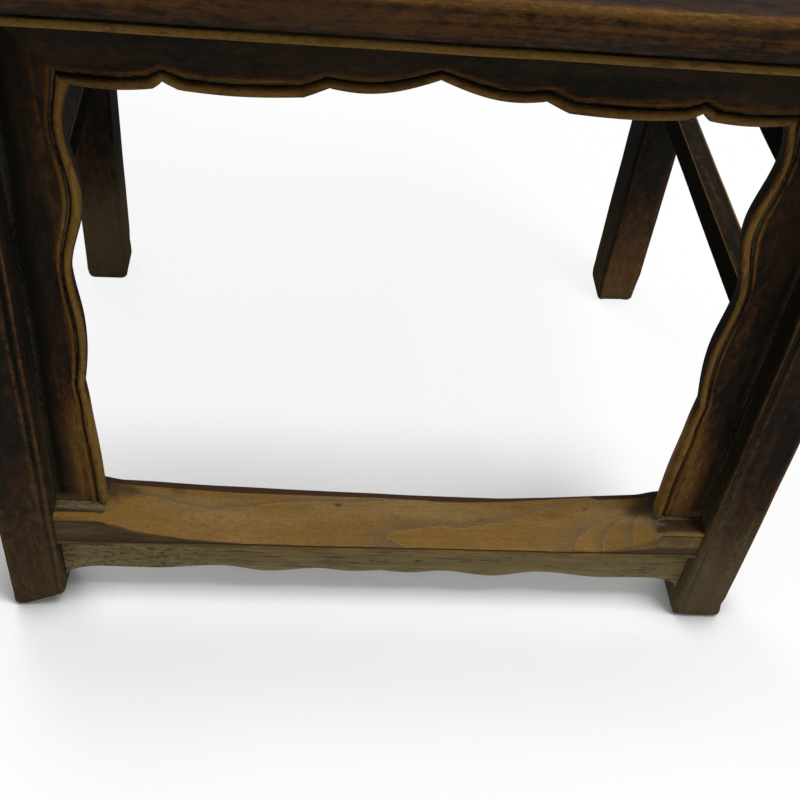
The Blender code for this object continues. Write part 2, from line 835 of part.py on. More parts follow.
def rail_mesh(name, outward, length, edge):
    """A rail whose ends are slid onto the corner mitres."""
    along = Z_AXIS.cross(outward)
    mesh = board(name, rail_outline(), length, Matrix.Identity(4))
    for vertex in mesh.vertices:
        u = vertex.co.x
        half = length / 2 - (RAIL_WIDTH - u) - GAP
        vertex.co.z = math.copysign(half, vertex.co.z)
    middle = outward * (edge - RAIL_WIDTH) + Z_AXIS * SEAT_UNDERSIDE
    if outward.x:
        middle += Y_AXIS * (SEAT_FRONT_Y + SEAT_BACK_Y) / 2
    turn = Matrix((outward, Z_AXIS, -along)).transposed().to_4x4()
    mesh.transform(Matrix.Translation(middle) @ turn)
    bm = bmesh.new()
    bm.from_mesh(mesh)
    bpy.data.meshes.remove(mesh)
    return mesh_from(bm, name)


def corner_tenon(front):
    """Corners of the tenon that a long rail sends through the right-hand mitre."""
    mitre_x = SEAT_SIDE_X - RAIL_WIDTH + CORNER_TENON_INSET
    inner_y = (SEAT_FRONT_Y + RAIL_WIDTH) if front else (SEAT_BACK_Y - RAIL_WIDTH)
    inward = 1 if front else -1
    first_y = inner_y - inward * CORNER_TENON_INSET
    last_y = first_y - inward * CORNER_TENON_WIDTH
    high = SEAT_HEIGHT - CORNER_TENON_DROP
    low = high - CORNER_TENON_HEIGHT
    start = mitre_x - CORNER_TENON_INSET - BITE
    return (start, min(first_y, last_y), low), (mitre_x + CORNER_TENON_REACH, max(first_y, last_y), high)


def post_hole(x, y, radius):
    start = (x, y, SEAT_UNDERSIDE - OVERRUN)
    return rod("post_hole", start, Z_AXIS, SEAT_THICKNESS + 2 * OVERRUN, radius + GAP)


def batten_tenons(sign):
    """Corners of the tenons of the batten on this side: in the front rail and in the back rail."""
    middle = sign * BATTEN_SPACING / 2
    high = PANEL_UNDERSIDE - GAP - BITE
    low = high - BATTEN_TENON_HEIGHT
    half = BATTEN_TENON_WIDTH / 2
    front_y = SEAT_FRONT_Y + RAIL_WIDTH
    back_y = SEAT_BACK_Y - RAIL_WIDTH
    front = ((middle - half, front_y - BATTEN_TENON_REACH, low), (middle + half, front_y + BITE, high))
    back = ((middle - half, back_y - BITE, low), (middle + half, back_y + BATTEN_TENON_REACH, high))
    return front, back


def apron_tongue(y_middle, half_length):
    low = BOARD_TOP - BITE
    high = SEAT_UNDERSIDE + BOARD_TONGUE_REACH
    half = BOARD_TONGUE / 2
    return (-half_length, y_middle - half, low), (half_length, y_middle + half, high)


BOARD_MIDDLE = BOARD_SETBACK + BOARD_THICKNESS / 2
APRON_TONGUE_HALF = MITRE_HALF_WIDTH
BACK_APRON_HALF = (BACK_WIDTH / 2 - BACK_LEG_WIDTH) - GAP
SIDE_LEAN = (BACK_POST_X - front_leg_x(SIDE_UPPER_BOTTOM)) / (BACK_POST_Y - FRONT_POST_Y)


def side_line_x(y):
    """Middle of the side pieces, which run from the front leg to the wider-set back leg."""
    return front_leg_x(SIDE_UPPER_BOTTOM) + SIDE_LEAN * (y - FRONT_POST_Y)


def make_seat_frame():
    front_mesh = rail_mesh("seat_rail_front", -Y_AXIS, SEAT_WIDTH, SEAT_FRONT_OVERHANG)
    front = add_part("seat_rail_front", front_mesh, (0, SEAT_FRONT_Y, SEAT_HEIGHT), DARK_LACQUER)
    back_mesh = rail_mesh("seat_rail_back", Y_AXIS, SEAT_WIDTH, SEAT_BACK_Y)
    back = add_part("seat_rail_back", back_mesh, (0, SEAT_BACK_Y, SEAT_HEIGHT), DARK_LACQUER)
    side_mesh = rail_mesh("seat_rail_right", X_AXIS, SEAT_BACK_Y - SEAT_FRONT_Y, SEAT_SIDE_X)
    side_middle = (SEAT_SIDE_X, (SEAT_BACK_Y + SEAT_FRONT_Y) / 2, SEAT_HEIGHT)
    side = add_part("seat_rail_right", side_mesh, side_middle, DARK_LACQUER)
    for rail, is_front in ((front, True), (back, False)):
        low, high = corner_tenon(is_front)
        join_both_sides(rail, box("corner_tenon", low, high))
        cut(side, grown_box("corner_mortise", low, high))
        x = FRONT_POST_X if is_front else BACK_POST_X
        y = FRONT_POST_Y if is_front else BACK_POST_Y
        radius = FRONT_POST_RADIUS if is_front else BACK_POST_RADIUS
        cut_both_sides(rail, post_hole(x, y, radius))
        cut(side, post_hole(x, y, radius))
        for sign in (-1, 1):
            marks = batten_tenons(sign)[0 if is_front else 1]
            cut(rail, grown_box("batten_mortise", *marks))
    cut(front, grown_box("apron_groove", *apron_tongue(BOARD_MIDDLE, APRON_TONGUE_HALF)))
    cut(back, grown_box("apron_groove", *apron_tongue(BACK_POST_Y, BACK_APRON_HALF - BOARD_TONGUE_END)))
    cut(side, side_apron_tongue(GAP))
    cut(back, grown_box("splat_housing", *splat_foot()))
    foot = side_post_foot()
    depth = SIDE_POST_TENON_LENGTH + GAP
    start = foot - Z_AXIS * depth
    cut(side, rod("side_post_hole", start, Z_AXIS, depth + OVERRUN, SIDE_POST_TENON_RADIUS + GAP))
    add_left(side, "seat_rail_left", DARK_LACQUER)


def make_seat_panel():
    inner_x = SEAT_SIDE_X - RAIL_WIDTH
    inner_low = SEAT_FRONT_Y + RAIL_WIDTH
    inner_high = SEAT_BACK_Y - RAIL_WIDTH
    tongue_top = PANEL_UNDERSIDE + PANEL_TONGUE
    rings = []
    for grow, z in (
        (PANEL_TONGUE_REACH, PANEL_UNDERSIDE),
        (PANEL_TONGUE_REACH, tongue_top),
        (-PANEL_SETBACK, tongue_top),
        (-PANEL_SETBACK, SEAT_HEIGHT - PANEL_REVEAL),
    ):
        x = inner_x + grow
        low = inner_low - grow
        high = inner_high + grow
        corners = ((-x, low), (x, low), (x, high), (-x, high))
        rings.append([Vector((across, y, z)) for across, y in corners])
    middle = (0, (inner_low + inner_high) / 2, SEAT_HEIGHT)
    panel = add_part("seat_panel", loft("seat_panel", rings), middle, BROWN_LACQUER)
    for sign, name in ((-1, "seat_batten_left"), (1, "seat_batten_right")):
        middle = sign * BATTEN_SPACING / 2
        place = (middle, inner_low, PANEL_UNDERSIDE)
        batten = add_part(name, batten_mesh(name, middle, 0), place, BROWN_LACQUER)
        for marks in batten_tenons(sign):
            join(batten, box("batten_tenon", *marks))
        cut(panel, batten_mesh("batten_slot", middle, GAP))


def batten_mesh(name, middle, clearance):
    """A batten with a dovetail key along its top. With a clearance it is the slot for the key."""
    inner_low = SEAT_FRONT_Y + RAIL_WIDTH
    inner_high = SEAT_BACK_Y - RAIL_WIDTH
    half = BATTEN_WIDTH / 2
    neck = BATTEN_KEY_NECK / 2 + clearance
    wide = BATTEN_KEY_WIDTH / 2 + clearance
    top = -GAP
    key = BATTEN_KEY_HEIGHT + clearance - GAP
    if clearance:
        outline = [(-neck, -OVERRUN), (neck, -OVERRUN), (neck, 0), (wide, key), (-wide, key), (-neck, 0)]
    else:
        outline = [(-half, -BATTEN_HEIGHT), (half, -BATTEN_HEIGHT), (half, top), (neck, top), (wide, key)]
        outline += [(-wide, key), (-neck, top), (-half, top)]
    length = inner_high - inner_low - 2 * GAP
    if clearance:
        length += 2 * PANEL_TONGUE_REACH + 2 * OVERRUN
    turn = Matrix((X_AXIS, Z_AXIS, -Y_AXIS)).transposed().to_4x4()
    centre = Vector((middle, (inner_low + inner_high) / 2, PANEL_UNDERSIDE))
    return board(name, outline, length, Matrix.Translation(centre) @ turn)


# Boards in the front frame


def edge_rings(points, reaches, end_normal):
    """Rings across a beaded board: one at each point of its shaped edge, reaching to its far edge.

    The first and last rings run straight to the far edge, so that they lie in the board's end faces.
    """
    bead_end = EDGE_BEAD - EDGE_BEAD_REACH
    groove_end = bead_end + EDGE_GROOVE
    ridge_end = groove_end + EDGE_RIDGE
    section = [
        (0, BOARD_THICKNESS),
        (-EDGE_BEAD_REACH, EDGE_BEAD_ROUND),
        (-EDGE_BEAD_REACH / 2, EDGE_BEAD_ROUND / 4),
        (bead_end / 4, 0),
        (bead_end * 3 / 4, EDGE_BEAD_ROUND / 4),
        (bead_end, EDGE_GROOVE_DEPTH),
        (groove_end, EDGE_GROOVE_DEPTH),
        (groove_end + EDGE_RIDGE / 3, EDGE_RIDGE_DEPTH),
        (ridge_end, EDGE_RIDGE_DEPTH),
        (ridge_end + EDGE_RIDGE / 2, FIELD_DEPTH),
    ]
    rings = []
    for index, (x, z) in enumerate(points):
        across = edge_normal(points, index)
        if index in (0, len(points) - 1):
            straight = (Vector(reaches[index]) - Vector((x, z))).normalized()
            across = straight / abs(straight.dot(end_normal))
        ring = []
        for away, deep in section:
            ring.append(Vector((x + across.x * away, BOARD_SETBACK + deep, z + across.y * away)))
        far_x, far_z = reaches[index]
        ring.append(Vector((far_x, BOARD_SETBACK + FIELD_DEPTH, far_z)))
        ring.append(Vector((far_x, BOARD_SETBACK + BOARD_THICKNESS, far_z)))
        rings.append(ring)
    return rings


def edge_normal(points, index):
    """Direction square to the edge and into the board, which lies to the right of its travel."""
    here = Vector(points[index])
    before = Vector(points[max(index - 1, 0)])
    after = Vector(points[min(index + 1, len(points) - 1)])
    total = Vector((0, 0))
    for step in (here - before, after - here):
        if step.length:
            total += step.normalized()
    travel = total.normalized()
    return Vector((travel.y, -travel.x))


def spandrel_mesh(name):
    low = FOOTREST_TOP + GAP
    height = MITRE_HEIGHT - low
    points = []
    reaches = []
    for along, lobe in wavy_edge(SPANDREL_LOBE_SHARES):
        z = low + height * along
        x = OPENING_HALF_WIDTH - SPANDREL_LOBE * lobe
        if along == SPANDREL_LOBE_SHARES[-1][0]:
            x = MITRE_HALF_WIDTH
        far_z = low + (BOARD_TOP - low) * along
        points.append((x, z))
        reaches.append((front_leg_inner_x(far_z) - GAP, far_z))
    mitre_side = GAP * math.sqrt(2) / 2
    points[-1] = (points[-1][0] + mitre_side, points[-1][1] - mitre_side)
    reaches[-1] = (reaches[-1][0], reaches[-1][1] - 2 * mitre_side)
    return loft(name, edge_rings(points, reaches, Vector((1, 0))))


def spandrel_tongue(clearance):
    """The tongue that the spandrel sends into the leg, leaning as the leg does."""
    rings = []
    for z in (FOOTREST_TOP + BOARD_TONGUE_END - clearance, BOARD_TOP - BOARD_TONGUE_END + clearance):
        face = front_leg_inner_x(z)
        low_x = face - BITE - clearance
        high_x = face + BOARD_TONGUE_REACH + clearance
        low_y = BOARD_MIDDLE - BOARD_TONGUE / 2 - clearance
        high_y = BOARD_MIDDLE + BOARD_TONGUE / 2 + clearance
        corners = ((low_x, low_y), (high_x, low_y), (high_x, high_y), (low_x, high_y))
        rings.append([Vector((x, y, z)) for x, y in corners])
    return loft("spandrel_tongue", rings)


def front_apron_mesh(name):
    """The apron from its right mitre to its left one, with the pointed arch in the middle."""
    half = []
    for along, lobe in wavy_edge(APRON_LOBE_SHARES):
        rise = APRON_RISE * lobe if lobe > 0 else APRON_DIP * lobe
        half.append((MITRE_HALF_WIDTH * (1 - along), MITRE_HEIGHT + rise))
    mitre_side = GAP * math.sqrt(2) / 2
    half[0] = (half[0][0] - mitre_side, half[0][1] + mitre_side)
    far_half = front_leg_inner_x(BOARD_TOP) - GAP
    far = [(far_half * x / MITRE_HALF_WIDTH, BOARD_TOP) for x, _ in half]
    far[0] = (far_half - mitre_side, BOARD_TOP)
    points = half + [(-x, z) for x, z in reversed(half[:-1])]
    reaches = far + [(-x, z) for x, z in reversed(far[:-1])]
    return loft(name, edge_rings(points, reaches, Vector((0, 1))))


def make_front_frame(front_leg):
    place = (front_leg_inner_x(0), BOARD_SETBACK, FOOTREST_TOP)
    mesh = spandrel_mesh("front_spandrel_right")
    spandrel = add_part("front_spandrel_right", mesh, place, BROWN_LACQUER)
    join(spandrel, spandrel_tongue(0))
    cut(front_leg, spandrel_tongue(GAP))
    add_left(spandrel, "front_spandrel_left", BROWN_LACQUER)
    mesh = front_apron_mesh("front_apron")
    apron = add_part("front_apron", mesh, (0, BOARD_SETBACK, BOARD_TOP), DARK_LACQUER)
    join(apron, box("apron_tongue", *apron_tongue(BOARD_MIDDLE, APRON_TONGUE_HALF)))


# Footrest


def footrest_ring(x, half):
    back = FOOTREST_SETBACK + FOOTREST_DEPTH
    place = x / half
    back_top = FOOTREST_TOP - FOOTREST_BACK_WEAR * level_between(FOOTREST_BACK_WEAR_SHARES, place)
    front_top = FOOTREST_TOP - FOOTREST_FRONT_WEAR * level_between(FOOTREST_FRONT_WEAR_SHARES, place)
    lip_low = FOOTREST_BOTTOM
    lip_high = FOOTREST_BOTTOM + FOOTREST_LIP
    lip_front = FOOTREST_SETBACK - FOOTREST_LIP_REACH
    front_foot = min(lip_high + FOOTREST_LIP_REACH, front_top - FOOTREST_EASE)
    middle_y = (FOOTREST_SETBACK + back) / 2
    middle_top = (back_top + front_top) / 2
    section = [
        (back, lip_low),
        (FOOTREST_SETBACK, lip_low),
        (lip_front, lip_low + FOOTREST_LIP / 4),
        (lip_front, lip_high - FOOTREST_LIP / 4),
        (FOOTREST_SETBACK, min(lip_high, front_foot - FOOTREST_EASE / 2)),
        (FOOTREST_SETBACK, front_top - FOOTREST_EASE),
        (FOOTREST_SETBACK + FOOTREST_EASE, front_top),
        (middle_y, middle_top),
        (back - FOOTREST_EASE, back_top),
        (back, back_top - FOOTREST_EASE),
    ]
    return [Vector((x, y, z)) for y, z in section]


def make_footrest(front_leg):
    half = front_leg_inner_x(FOOTREST_BOTTOM) - GAP
    top_half = front_leg_inner_x(FOOTREST_TOP) - GAP
    marks = sorted({share for share, _ in FOOTREST_BACK_WEAR_SHARES + FOOTREST_FRONT_WEAR_SHARES})
    rings = [footrest_ring(share * top_half, half) for share in marks]
    place = (0, FOOTREST_SETBACK, FOOTREST_BOTTOM)
    rest = add_part("footrest", loft("footrest", rings), place, WORN_WOOD, WORN_ROUGHNESS)
    reach = FOOTREST_TENON_REACH + BITE
    tenon_z = FOOTREST_BOTTOM + BITE + FOOTREST_TENON_HEIGHT / 2
    centre = (half - BITE + reach / 2, BOARD_MIDDLE, tenon_z)
    marks = tenon_marks(centre, (reach, FOOTREST_TENON_DEPTH, FOOTREST_TENON_HEIGHT))
    join_both_sides(rest, box("footrest_tenon", *marks))
    cut(front_leg, grown_box("footrest_mortise", *marks))
    middle_y = FOOT_BOARD_SETBACK + FOOT_BOARD_THICKNESS / 2
    tongue_half = half - BOARD_TONGUE_END
    tongue_low = (-tongue_half, middle_y - FOOT_BOARD_TONGUE / 2, FOOTREST_BOTTOM - BITE)
    tongue_high = (tongue_half, middle_y + FOOT_BOARD_TONGUE / 2, FOOTREST_BOTTOM + FOOT_BOARD_TONGUE_REACH)
    cut(rest, grown_box("foot_board_groove", tongue_low, tongue_high))
    place = (0, FOOT_BOARD_SETBACK, FOOTREST_BOTTOM)
    mesh = foot_board_mesh("footrest_apron")
    edge = add_part("footrest_apron", mesh, place, DUSTY_WOOD, WORN_ROUGHNESS)
    join(edge, box("foot_board_tongue", tongue_low, tongue_high))


def foot_board_mesh(name):
    """The scalloped board under the footrest, whose ends drop down the legs as small toes."""
    half = front_leg_inner_x(FOOTREST_BOTTOM) - GAP
    start = half - FOOT_BOARD_TOE_LENGTH
    lower = []
    for along, wave in wavy_edge(FOOT_BOARD_WAVE_SHARES):
        lower.append((start * along, FOOT_BOARD_EDGE + FOOT_BOARD_WAVE * wave))
    fall = lower[-1][1] - FOOT_BOARD_TOE
    for step in range(1, TOE_STEPS + 1):
        share = step / TOE_STEPS
        x = start + FOOT_BOARD_TOE_LENGTH * math.sin(share * math.pi / 2)
        lower.append((x, FOOT_BOARD_TOE + fall * math.cos(share * math.pi / 2)))
    top = FOOTREST_BOTTOM - GAP
    right = lower + [(half, top)]
    left = [(-x, z) for x, z in reversed(lower[1:])]
    outline = right + [(-half, top)] + left
    turn = Matrix((X_AXIS, Z_AXIS, -Y_AXIS)).transposed().to_4x4()
    centre = Vector((0, FOOT_BOARD_SETBACK + FOOT_BOARD_THICKNESS / 2, 0))
    return board(name, outline, FOOT_BOARD_THICKNESS, Matrix.Translation(centre) @ turn)


# Stretchers and plain aprons


def soften(item, width):
    modifier = item.modifiers.new("eased_edges", "BEVEL")
    modifier.width = width
    modifier.segments = 1
    modifier.limit_method = "ANGLE"


def skewed(mesh, slope, pivot_y):
    """Slides the mesh sideways in step with y, so that its ends stay square to Y."""
    for vertex in mesh.vertices:
        vertex.co.x += slope * (vertex.co.y - pivot_y)
    return mesh


def side_stretcher(name, bottom, front_leg, back_leg):
    start = FRONT_LEG_DEPTH + GAP
    end = BACK_LEG_FRONT - GAP
    lean = (BACK_POST_X - front_leg_x(bottom)) / (BACK_POST_Y - FRONT_POST_Y)
    half = STRETCHER_WIDTH / 2

    def line_x(y):
        return front_leg_x(bottom) + lean * (y - FRONT_POST_Y)

    low = (line_x(start) - half, start, bottom)
    high = (line_x(start) + half, end, bottom + STRETCHER_HEIGHT)
    mesh = skewed(box(name, low, high), lean, start)
    item = add_part(name + "_right", mesh, (line_x(start), start, bottom), BROWN_LACQUER)
    soften(item, STRETCHER_EASE)
    middle_z = bottom + STRETCHER_HEIGHT / 2
    for leg, face, way in ((front_leg, start, -1), (back_leg, end, 1)):
        reach = STRETCHER_TENON_REACH + BITE
        centre = (line_x(face), face + way * (STRETCHER_TENON_REACH - BITE) / 2, middle_z)
        marks = tenon_marks(centre, (STRETCHER_TENON_WIDTH, reach, STRETCHER_TENON_HEIGHT))
        join(item, box("tenon", *marks))
        cut(leg, grown_box("mortise", *marks))
    add_left(item, name + "_left", BROWN_LACQUER)


def make_back_stretcher(back_leg):
    inner = BACK_WIDTH / 2 - BACK_LEG_WIDTH
    half = inner - GAP
    bottom = BACK_STRETCHER_BOTTOM
    low = (-half, BACK_POST_Y - STRETCHER_WIDTH / 2, bottom)
    high = (half, BACK_POST_Y + STRETCHER_WIDTH / 2, bottom + STRETCHER_HEIGHT)
    mesh = box("back_stretcher", low, high)
    item = add_part("back_stretcher", mesh, (0, BACK_POST_Y, bottom), BROWN_LACQUER)
    soften(item, STRETCHER_EASE)
    reach = STRETCHER_TENON_REACH + BITE
    centre = (half - BITE + reach / 2, BACK_POST_Y, bottom + STRETCHER_HEIGHT / 2)
    marks = tenon_marks(centre, (reach, STRETCHER_TENON_WIDTH, STRETCHER_TENON_HEIGHT))
    join_both_sides(item, box("tenon", *marks))
    cut(back_leg, grown_box("mortise", *marks))


def bracketed_outline(half_length):
    """A plain apron with an ogee bracket at each end, from its top edge down."""
    fall = SIDE_BRACKET_HEIGHT - SIDE_APRON_HEIGHT
    start = half_length - SIDE_BRACKET_LENGTH
    lower = []
    for step in range(EDGE_STEPS + 1):
        share = step / EDGE_STEPS
        x = start + SIDE_BRACKET_LENGTH / 2 * share
        lower.append((x, -SIDE_APRON_HEIGHT - fall / 2 * (1 - math.cos(share * math.pi / 2))))
    for step in range(1, EDGE_STEPS + 1):
        share = step / EDGE_STEPS
        x = start + SIDE_BRACKET_LENGTH / 2 * (1 + math.sin(share * math.pi / 2) * 3 / 4)
        lower.append((x, -SIDE_APRON_HEIGHT - fall / 2 - fall / 2 * share))
    lower.append((half_length, -SIDE_BRACKET_HEIGHT))
    left = [(-x, z) for x, z in reversed(lower)]
    return lower + [(half_length, 0), (-half_length, 0)] + left


def side_apron_tongue(clearance):
    start = FRONT_LEG_DEPTH + BOARD_TONGUE_END - clearance
    end = BACK_LEG_FRONT - BOARD_TONGUE_END + clearance
    half = BOARD_TONGUE / 2 + clearance
    low = (side_line_x(start) - half, start, BOARD_TOP - BITE - clearance)
    high = (side_line_x(start) + half, end, SEAT_UNDERSIDE + BOARD_TONGUE_REACH + clearance)
    return skewed(box("side_apron_tongue", low, high), SIDE_LEAN, start)


def make_plain_aprons():
    length = BACK_LEG_FRONT - FRONT_LEG_DEPTH - 2 * GAP
    middle_y = (BACK_LEG_FRONT + FRONT_LEG_DEPTH) / 2
    turn = Matrix((Y_AXIS, Z_AXIS, X_AXIS)).transposed().to_4x4()
    centre = Vector((side_line_x(middle_y), middle_y, BOARD_TOP))
    placing = Matrix.Translation(centre) @ turn
    mesh = board("side_apron_right", bracketed_outline(length / 2), SIDE_APRON_THICKNESS, placing)
    mesh = skewed(mesh, SIDE_LEAN, middle_y)
    side = add_part("side_apron_right", mesh, centre, DARK_LACQUER)
    join(side, side_apron_tongue(0))
    add_left(side, "side_apron_left", DARK_LACQUER)
    turn = Matrix((X_AXIS, Z_AXIS, -Y_AXIS)).transposed().to_4x4()
    centre = Vector((0, BACK_POST_Y, BOARD_TOP))
    placing = Matrix.Translation(centre) @ turn
    mesh = board("back_apron", bracketed_outline(BACK_APRON_HALF), SIDE_APRON_THICKNESS, placing)
    back = add_part("back_apron", mesh, centre, DARK_LACQUER)
    join(back, box("apron_tongue", *apron_tongue(BACK_POST_Y, BACK_APRON_HALF - BOARD_TONGUE_END)))


# Back


def splat_route():
    """Middle line of the splat, from its housing in the seat rail to its housing in the yoke."""
    crown = crest_middle(0)
    foot = Vector((0, BACK_POST_Y, SEAT_HEIGHT - SPLAT_SEAT_HOUSING, SPLAT_WIDTH_BOTTOM))
    base = Vector((0, BACK_POST_Y, SEAT_HEIGHT + SPLAT_SEAT_HOUSING, SPLAT_WIDTH_BOTTOM))
    top = Vector((0, crown.y, crown.z - CREST_CENTRE_HEIGHT / 2 + SPLAT_HOUSING, SPLAT_WIDTH_TOP))
    rise = top - base
    knots = [base]
    for up, forward, back in SPLAT_KNOT_SHARES:
        knot = base + rise * up
        knot.y = base.y + SPLAT_LUMBAR * forward + rise.y * back
        knots.append(knot)
    knots.append(top)
    return smooth_route(knots, POST_STEPS, foot)


SPLAT_ROUTE = splat_route()


def splat_foot():
    """Corners of the part of the splat that stands in the seat rail."""
    half = SPLAT_WIDTH_BOTTOM / 2
    thick = SPLAT_THICKNESS / 2
    low = (-half, BACK_POST_Y - thick, SEAT_HEIGHT - SPLAT_SEAT_HOUSING)
    high = (half, BACK_POST_Y + thick, SEAT_HEIGHT + OVERRUN)
    return low, high


def make_splat():
    rings = []
    thick = SPLAT_THICKNESS / 2
    for index, point in enumerate(SPLAT_ROUTE):
        direction = Z_AXIS if point.z <= SEAT_HEIGHT + SPLAT_SEAT_HOUSING else heading(SPLAT_ROUTE, index)
        frame = turned_to(direction, point.xyz)
        half = point.w / 2
        right = (
            (half - SPLAT_EASE, -thick),
            (half, -thick + SPLAT_EASE),
            (half, thick - SPLAT_EASE),
            (half - SPLAT_EASE, thick),
        )
        corners = right + tuple((-u, v) for u, v in reversed(right))
        rings.append([frame @ Vector((u, v, 0)) for u, v in corners])
    add_part("back_splat", loft("back_splat", rings), (0, BACK_POST_Y, SEAT_HEIGHT), BROWN_LACQUER)


def make_crest():
    shares = [-share for share in reversed(CREST_RING_SHARES[1:])] + list(CREST_RING_SHARES)
    end_share = 1 - 2 * CREST_END_ROUND / CREST_LENGTH
    rings = [crest_ring(share) for share in shares]
    for part in (0, 1 / 2, 1):
        share = end_share + (1 - end_share) * math.sin(part * math.pi / 2)
        shrink = CREST_END_ROUND * (1 - math.cos(part * math.pi / 2))
        rings.append(crest_ring(share, shrink))
        rings.insert(0, crest_ring(-share, shrink))
    crest = add_part("crest_rail", loft("crest_rail", rings), crest_middle(0), DARK_LACQUER)
    for tool in socket_tools(BACK_POST_ROUTE, POST_TENON_RADIUS, POST_TENON_LENGTH):
        cut_both_sides(crest, tool)
    top = SPLAT_ROUTE[-1].xyz
    direction = heading(SPLAT_ROUTE, len(SPLAT_ROUTE) - 1)
    reach = 2 * CREST_CENTRE_HEIGHT
    centre = top + direction * (GAP - reach / 2)
    size = (SPLAT_WIDTH_TOP + 4 * GAP, SPLAT_THICKNESS + 2 * GAP, reach)
    cut(crest, tilted_box("splat_housing", centre, size, direction))


# Arms


def side_post_foot():
    y = SEAT_FRONT_Y + (SEAT_BACK_Y - SEAT_FRONT_Y) * SIDE_POST_SHARE
    return Vector((side_line_x(y), y, SEAT_HEIGHT))


def side_post_route():
    seat = side_post_foot()
    foot = Vector((seat.x, seat.y, seat.z + GAP, SIDE_POST_RADIUS))
    base = Vector((seat.x, seat.y, seat.z + SIDE_POST_RADIUS, SIDE_POST_RADIUS))
    top = on_arm(foot.y).copy()
    top.z -= socket_drop(top.w, SIDE_POST_TOP_RADIUS)
    top.w = SIDE_POST_TOP_RADIUS
    rise = top - base
    knots = [base]
    for up, out in SIDE_POST_KNOT_SHARES:
        knot = base + rise * up
        knot.x = base.x + rise.x * up + SIDE_POST_BULGE * out
        knots.append(knot)
    knots.append(top)
    return smooth_route(knots, POST_STEPS, foot)


def make_arms(front_leg, back_leg):
    arm = add_part("arm_right", tube("arm_right", ARM_ROUTE), ARM_ROUTE[0].xyz, DARK_LACQUER)
    joint = min(range(len(BACK_POST_ROUTE)), key=lambda index: abs(BACK_POST_ROUTE[index].z - ARM_HEIGHT))
    axis = heading(BACK_POST_ROUTE, joint)
    radius = BACK_POST_ROUTE[joint].w
    reach = 3 * ARM_RADIUS
    start = BACK_POST_ROUTE[joint].xyz - axis * reach
    cut(arm, rod("post_scribe", start, axis, 2 * reach, radius + 2 * GAP))
    along = heading(ARM_ROUTE, 0)
    face = ARM_ROUTE[0].xyz + along * radius
    start = face - along * ARM_TENON_LENGTH
    join(arm, rod("arm_tenon", start, along, ARM_TENON_LENGTH + radius, ARM_TENON_RADIUS))
    depth = ARM_TENON_LENGTH + radius
    cut(back_leg, rod("arm_mortise", start - along * GAP, along, depth, ARM_TENON_RADIUS + 2 * GAP))
    for tool in socket_tools(NECK_ROUTE, POST_TENON_RADIUS, POST_TENON_LENGTH):
        cut(arm, tool)
    make_side_post(arm)
    make_arm_bracket()
    add_left(arm, "arm_left", DARK_LACQUER)


def make_side_post(arm):
    route = side_post_route()
    post = add_part("side_post_right", tube("side_post_right", route), route[0].xyz, DARK_LACQUER)
    length = SIDE_POST_TENON_LENGTH + BITE
    start = route[0].xyz - Z_AXIS * SIDE_POST_TENON_LENGTH
    join(post, rod("foot_tenon", start, Z_AXIS, length, SIDE_POST_TENON_RADIUS))
    upward = heading(route, len(route) - 1)
    start = route[-1].xyz - upward * BITE
    join(post, rod("top_tenon", start, upward, length, SIDE_POST_TENON_RADIUS))
    for tool in socket_tools(route, SIDE_POST_TENON_RADIUS, SIDE_POST_TENON_LENGTH):
        cut(arm, tool)
    add_left(post, "side_post_left", DARK_LACQUER)


def make_arm_bracket():
    """A small ogee bracket behind the goose-neck post, scribed to the post and to the arm."""
    corner = NECK_ROUTE[-1].xyz
    behind = on_arm(corner.y + BRACKET_LENGTH).xyz
    along = Vector((behind.x - corner.x, behind.y - corner.y, 0)).normalized()
    reach = BRACKET_LENGTH + FRONT_POST_TOP_RADIUS
    fall = (corner.z - SEAT_HEIGHT) * BRACKET_DROP_SHARE
    outline = [(0, 0)] + [(across * reach, -down * fall) for across, down in BRACKET_EDGE_SHARES]
    turn = Matrix((along, Z_AXIS, along.cross(Z_AXIS))).transposed().to_4x4()
    mesh = board("arm_bracket_right", outline, BRACKET_THICKNESS, Matrix.Translation(corner) @ turn)
    bracket = add_part("arm_bracket_right", mesh, corner, DARK_LACQUER)
    cut(bracket, tube("arm_scribe", ARM_ROUTE, 2 * GAP))
    cut(bracket, tube("post_scribe", NECK_ROUTE, 2 * GAP))
    add_left(bracket, "arm_bracket_left", DARK_LACQUER)


def main():
    front_leg, back_leg = make_legs()
    make_front_frame(front_leg)
    make_footrest(front_leg)
    side_stretcher("side_stretcher_lower", SIDE_LOWER_BOTTOM, front_leg, back_leg)
    side_stretcher("side_stretcher_upper", SIDE_UPPER_BOTTOM, front_leg, back_leg)
    make_back_stretcher(back_leg)
    make_plain_aprons()
    make_seat_frame()
    make_seat_panel()
    make_splat()
    make_crest()
    make_arms(front_leg, back_leg)
    add_left(front_leg, "front_post_left", BROWN_LACQUER)
    add_left(back_leg, "back_post_left", BROWN_LACQUER)


main()
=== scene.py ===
"""Yoke-back armchair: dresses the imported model, with every timber shaped again with its mouldings,
eased arrises and wear, and finished as old lacquered wood.

Metres, Z up. Pieces are drawn from the front face of the front legs, and `shape` then moves them
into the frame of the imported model. Left and right are as seen from the front.
"""

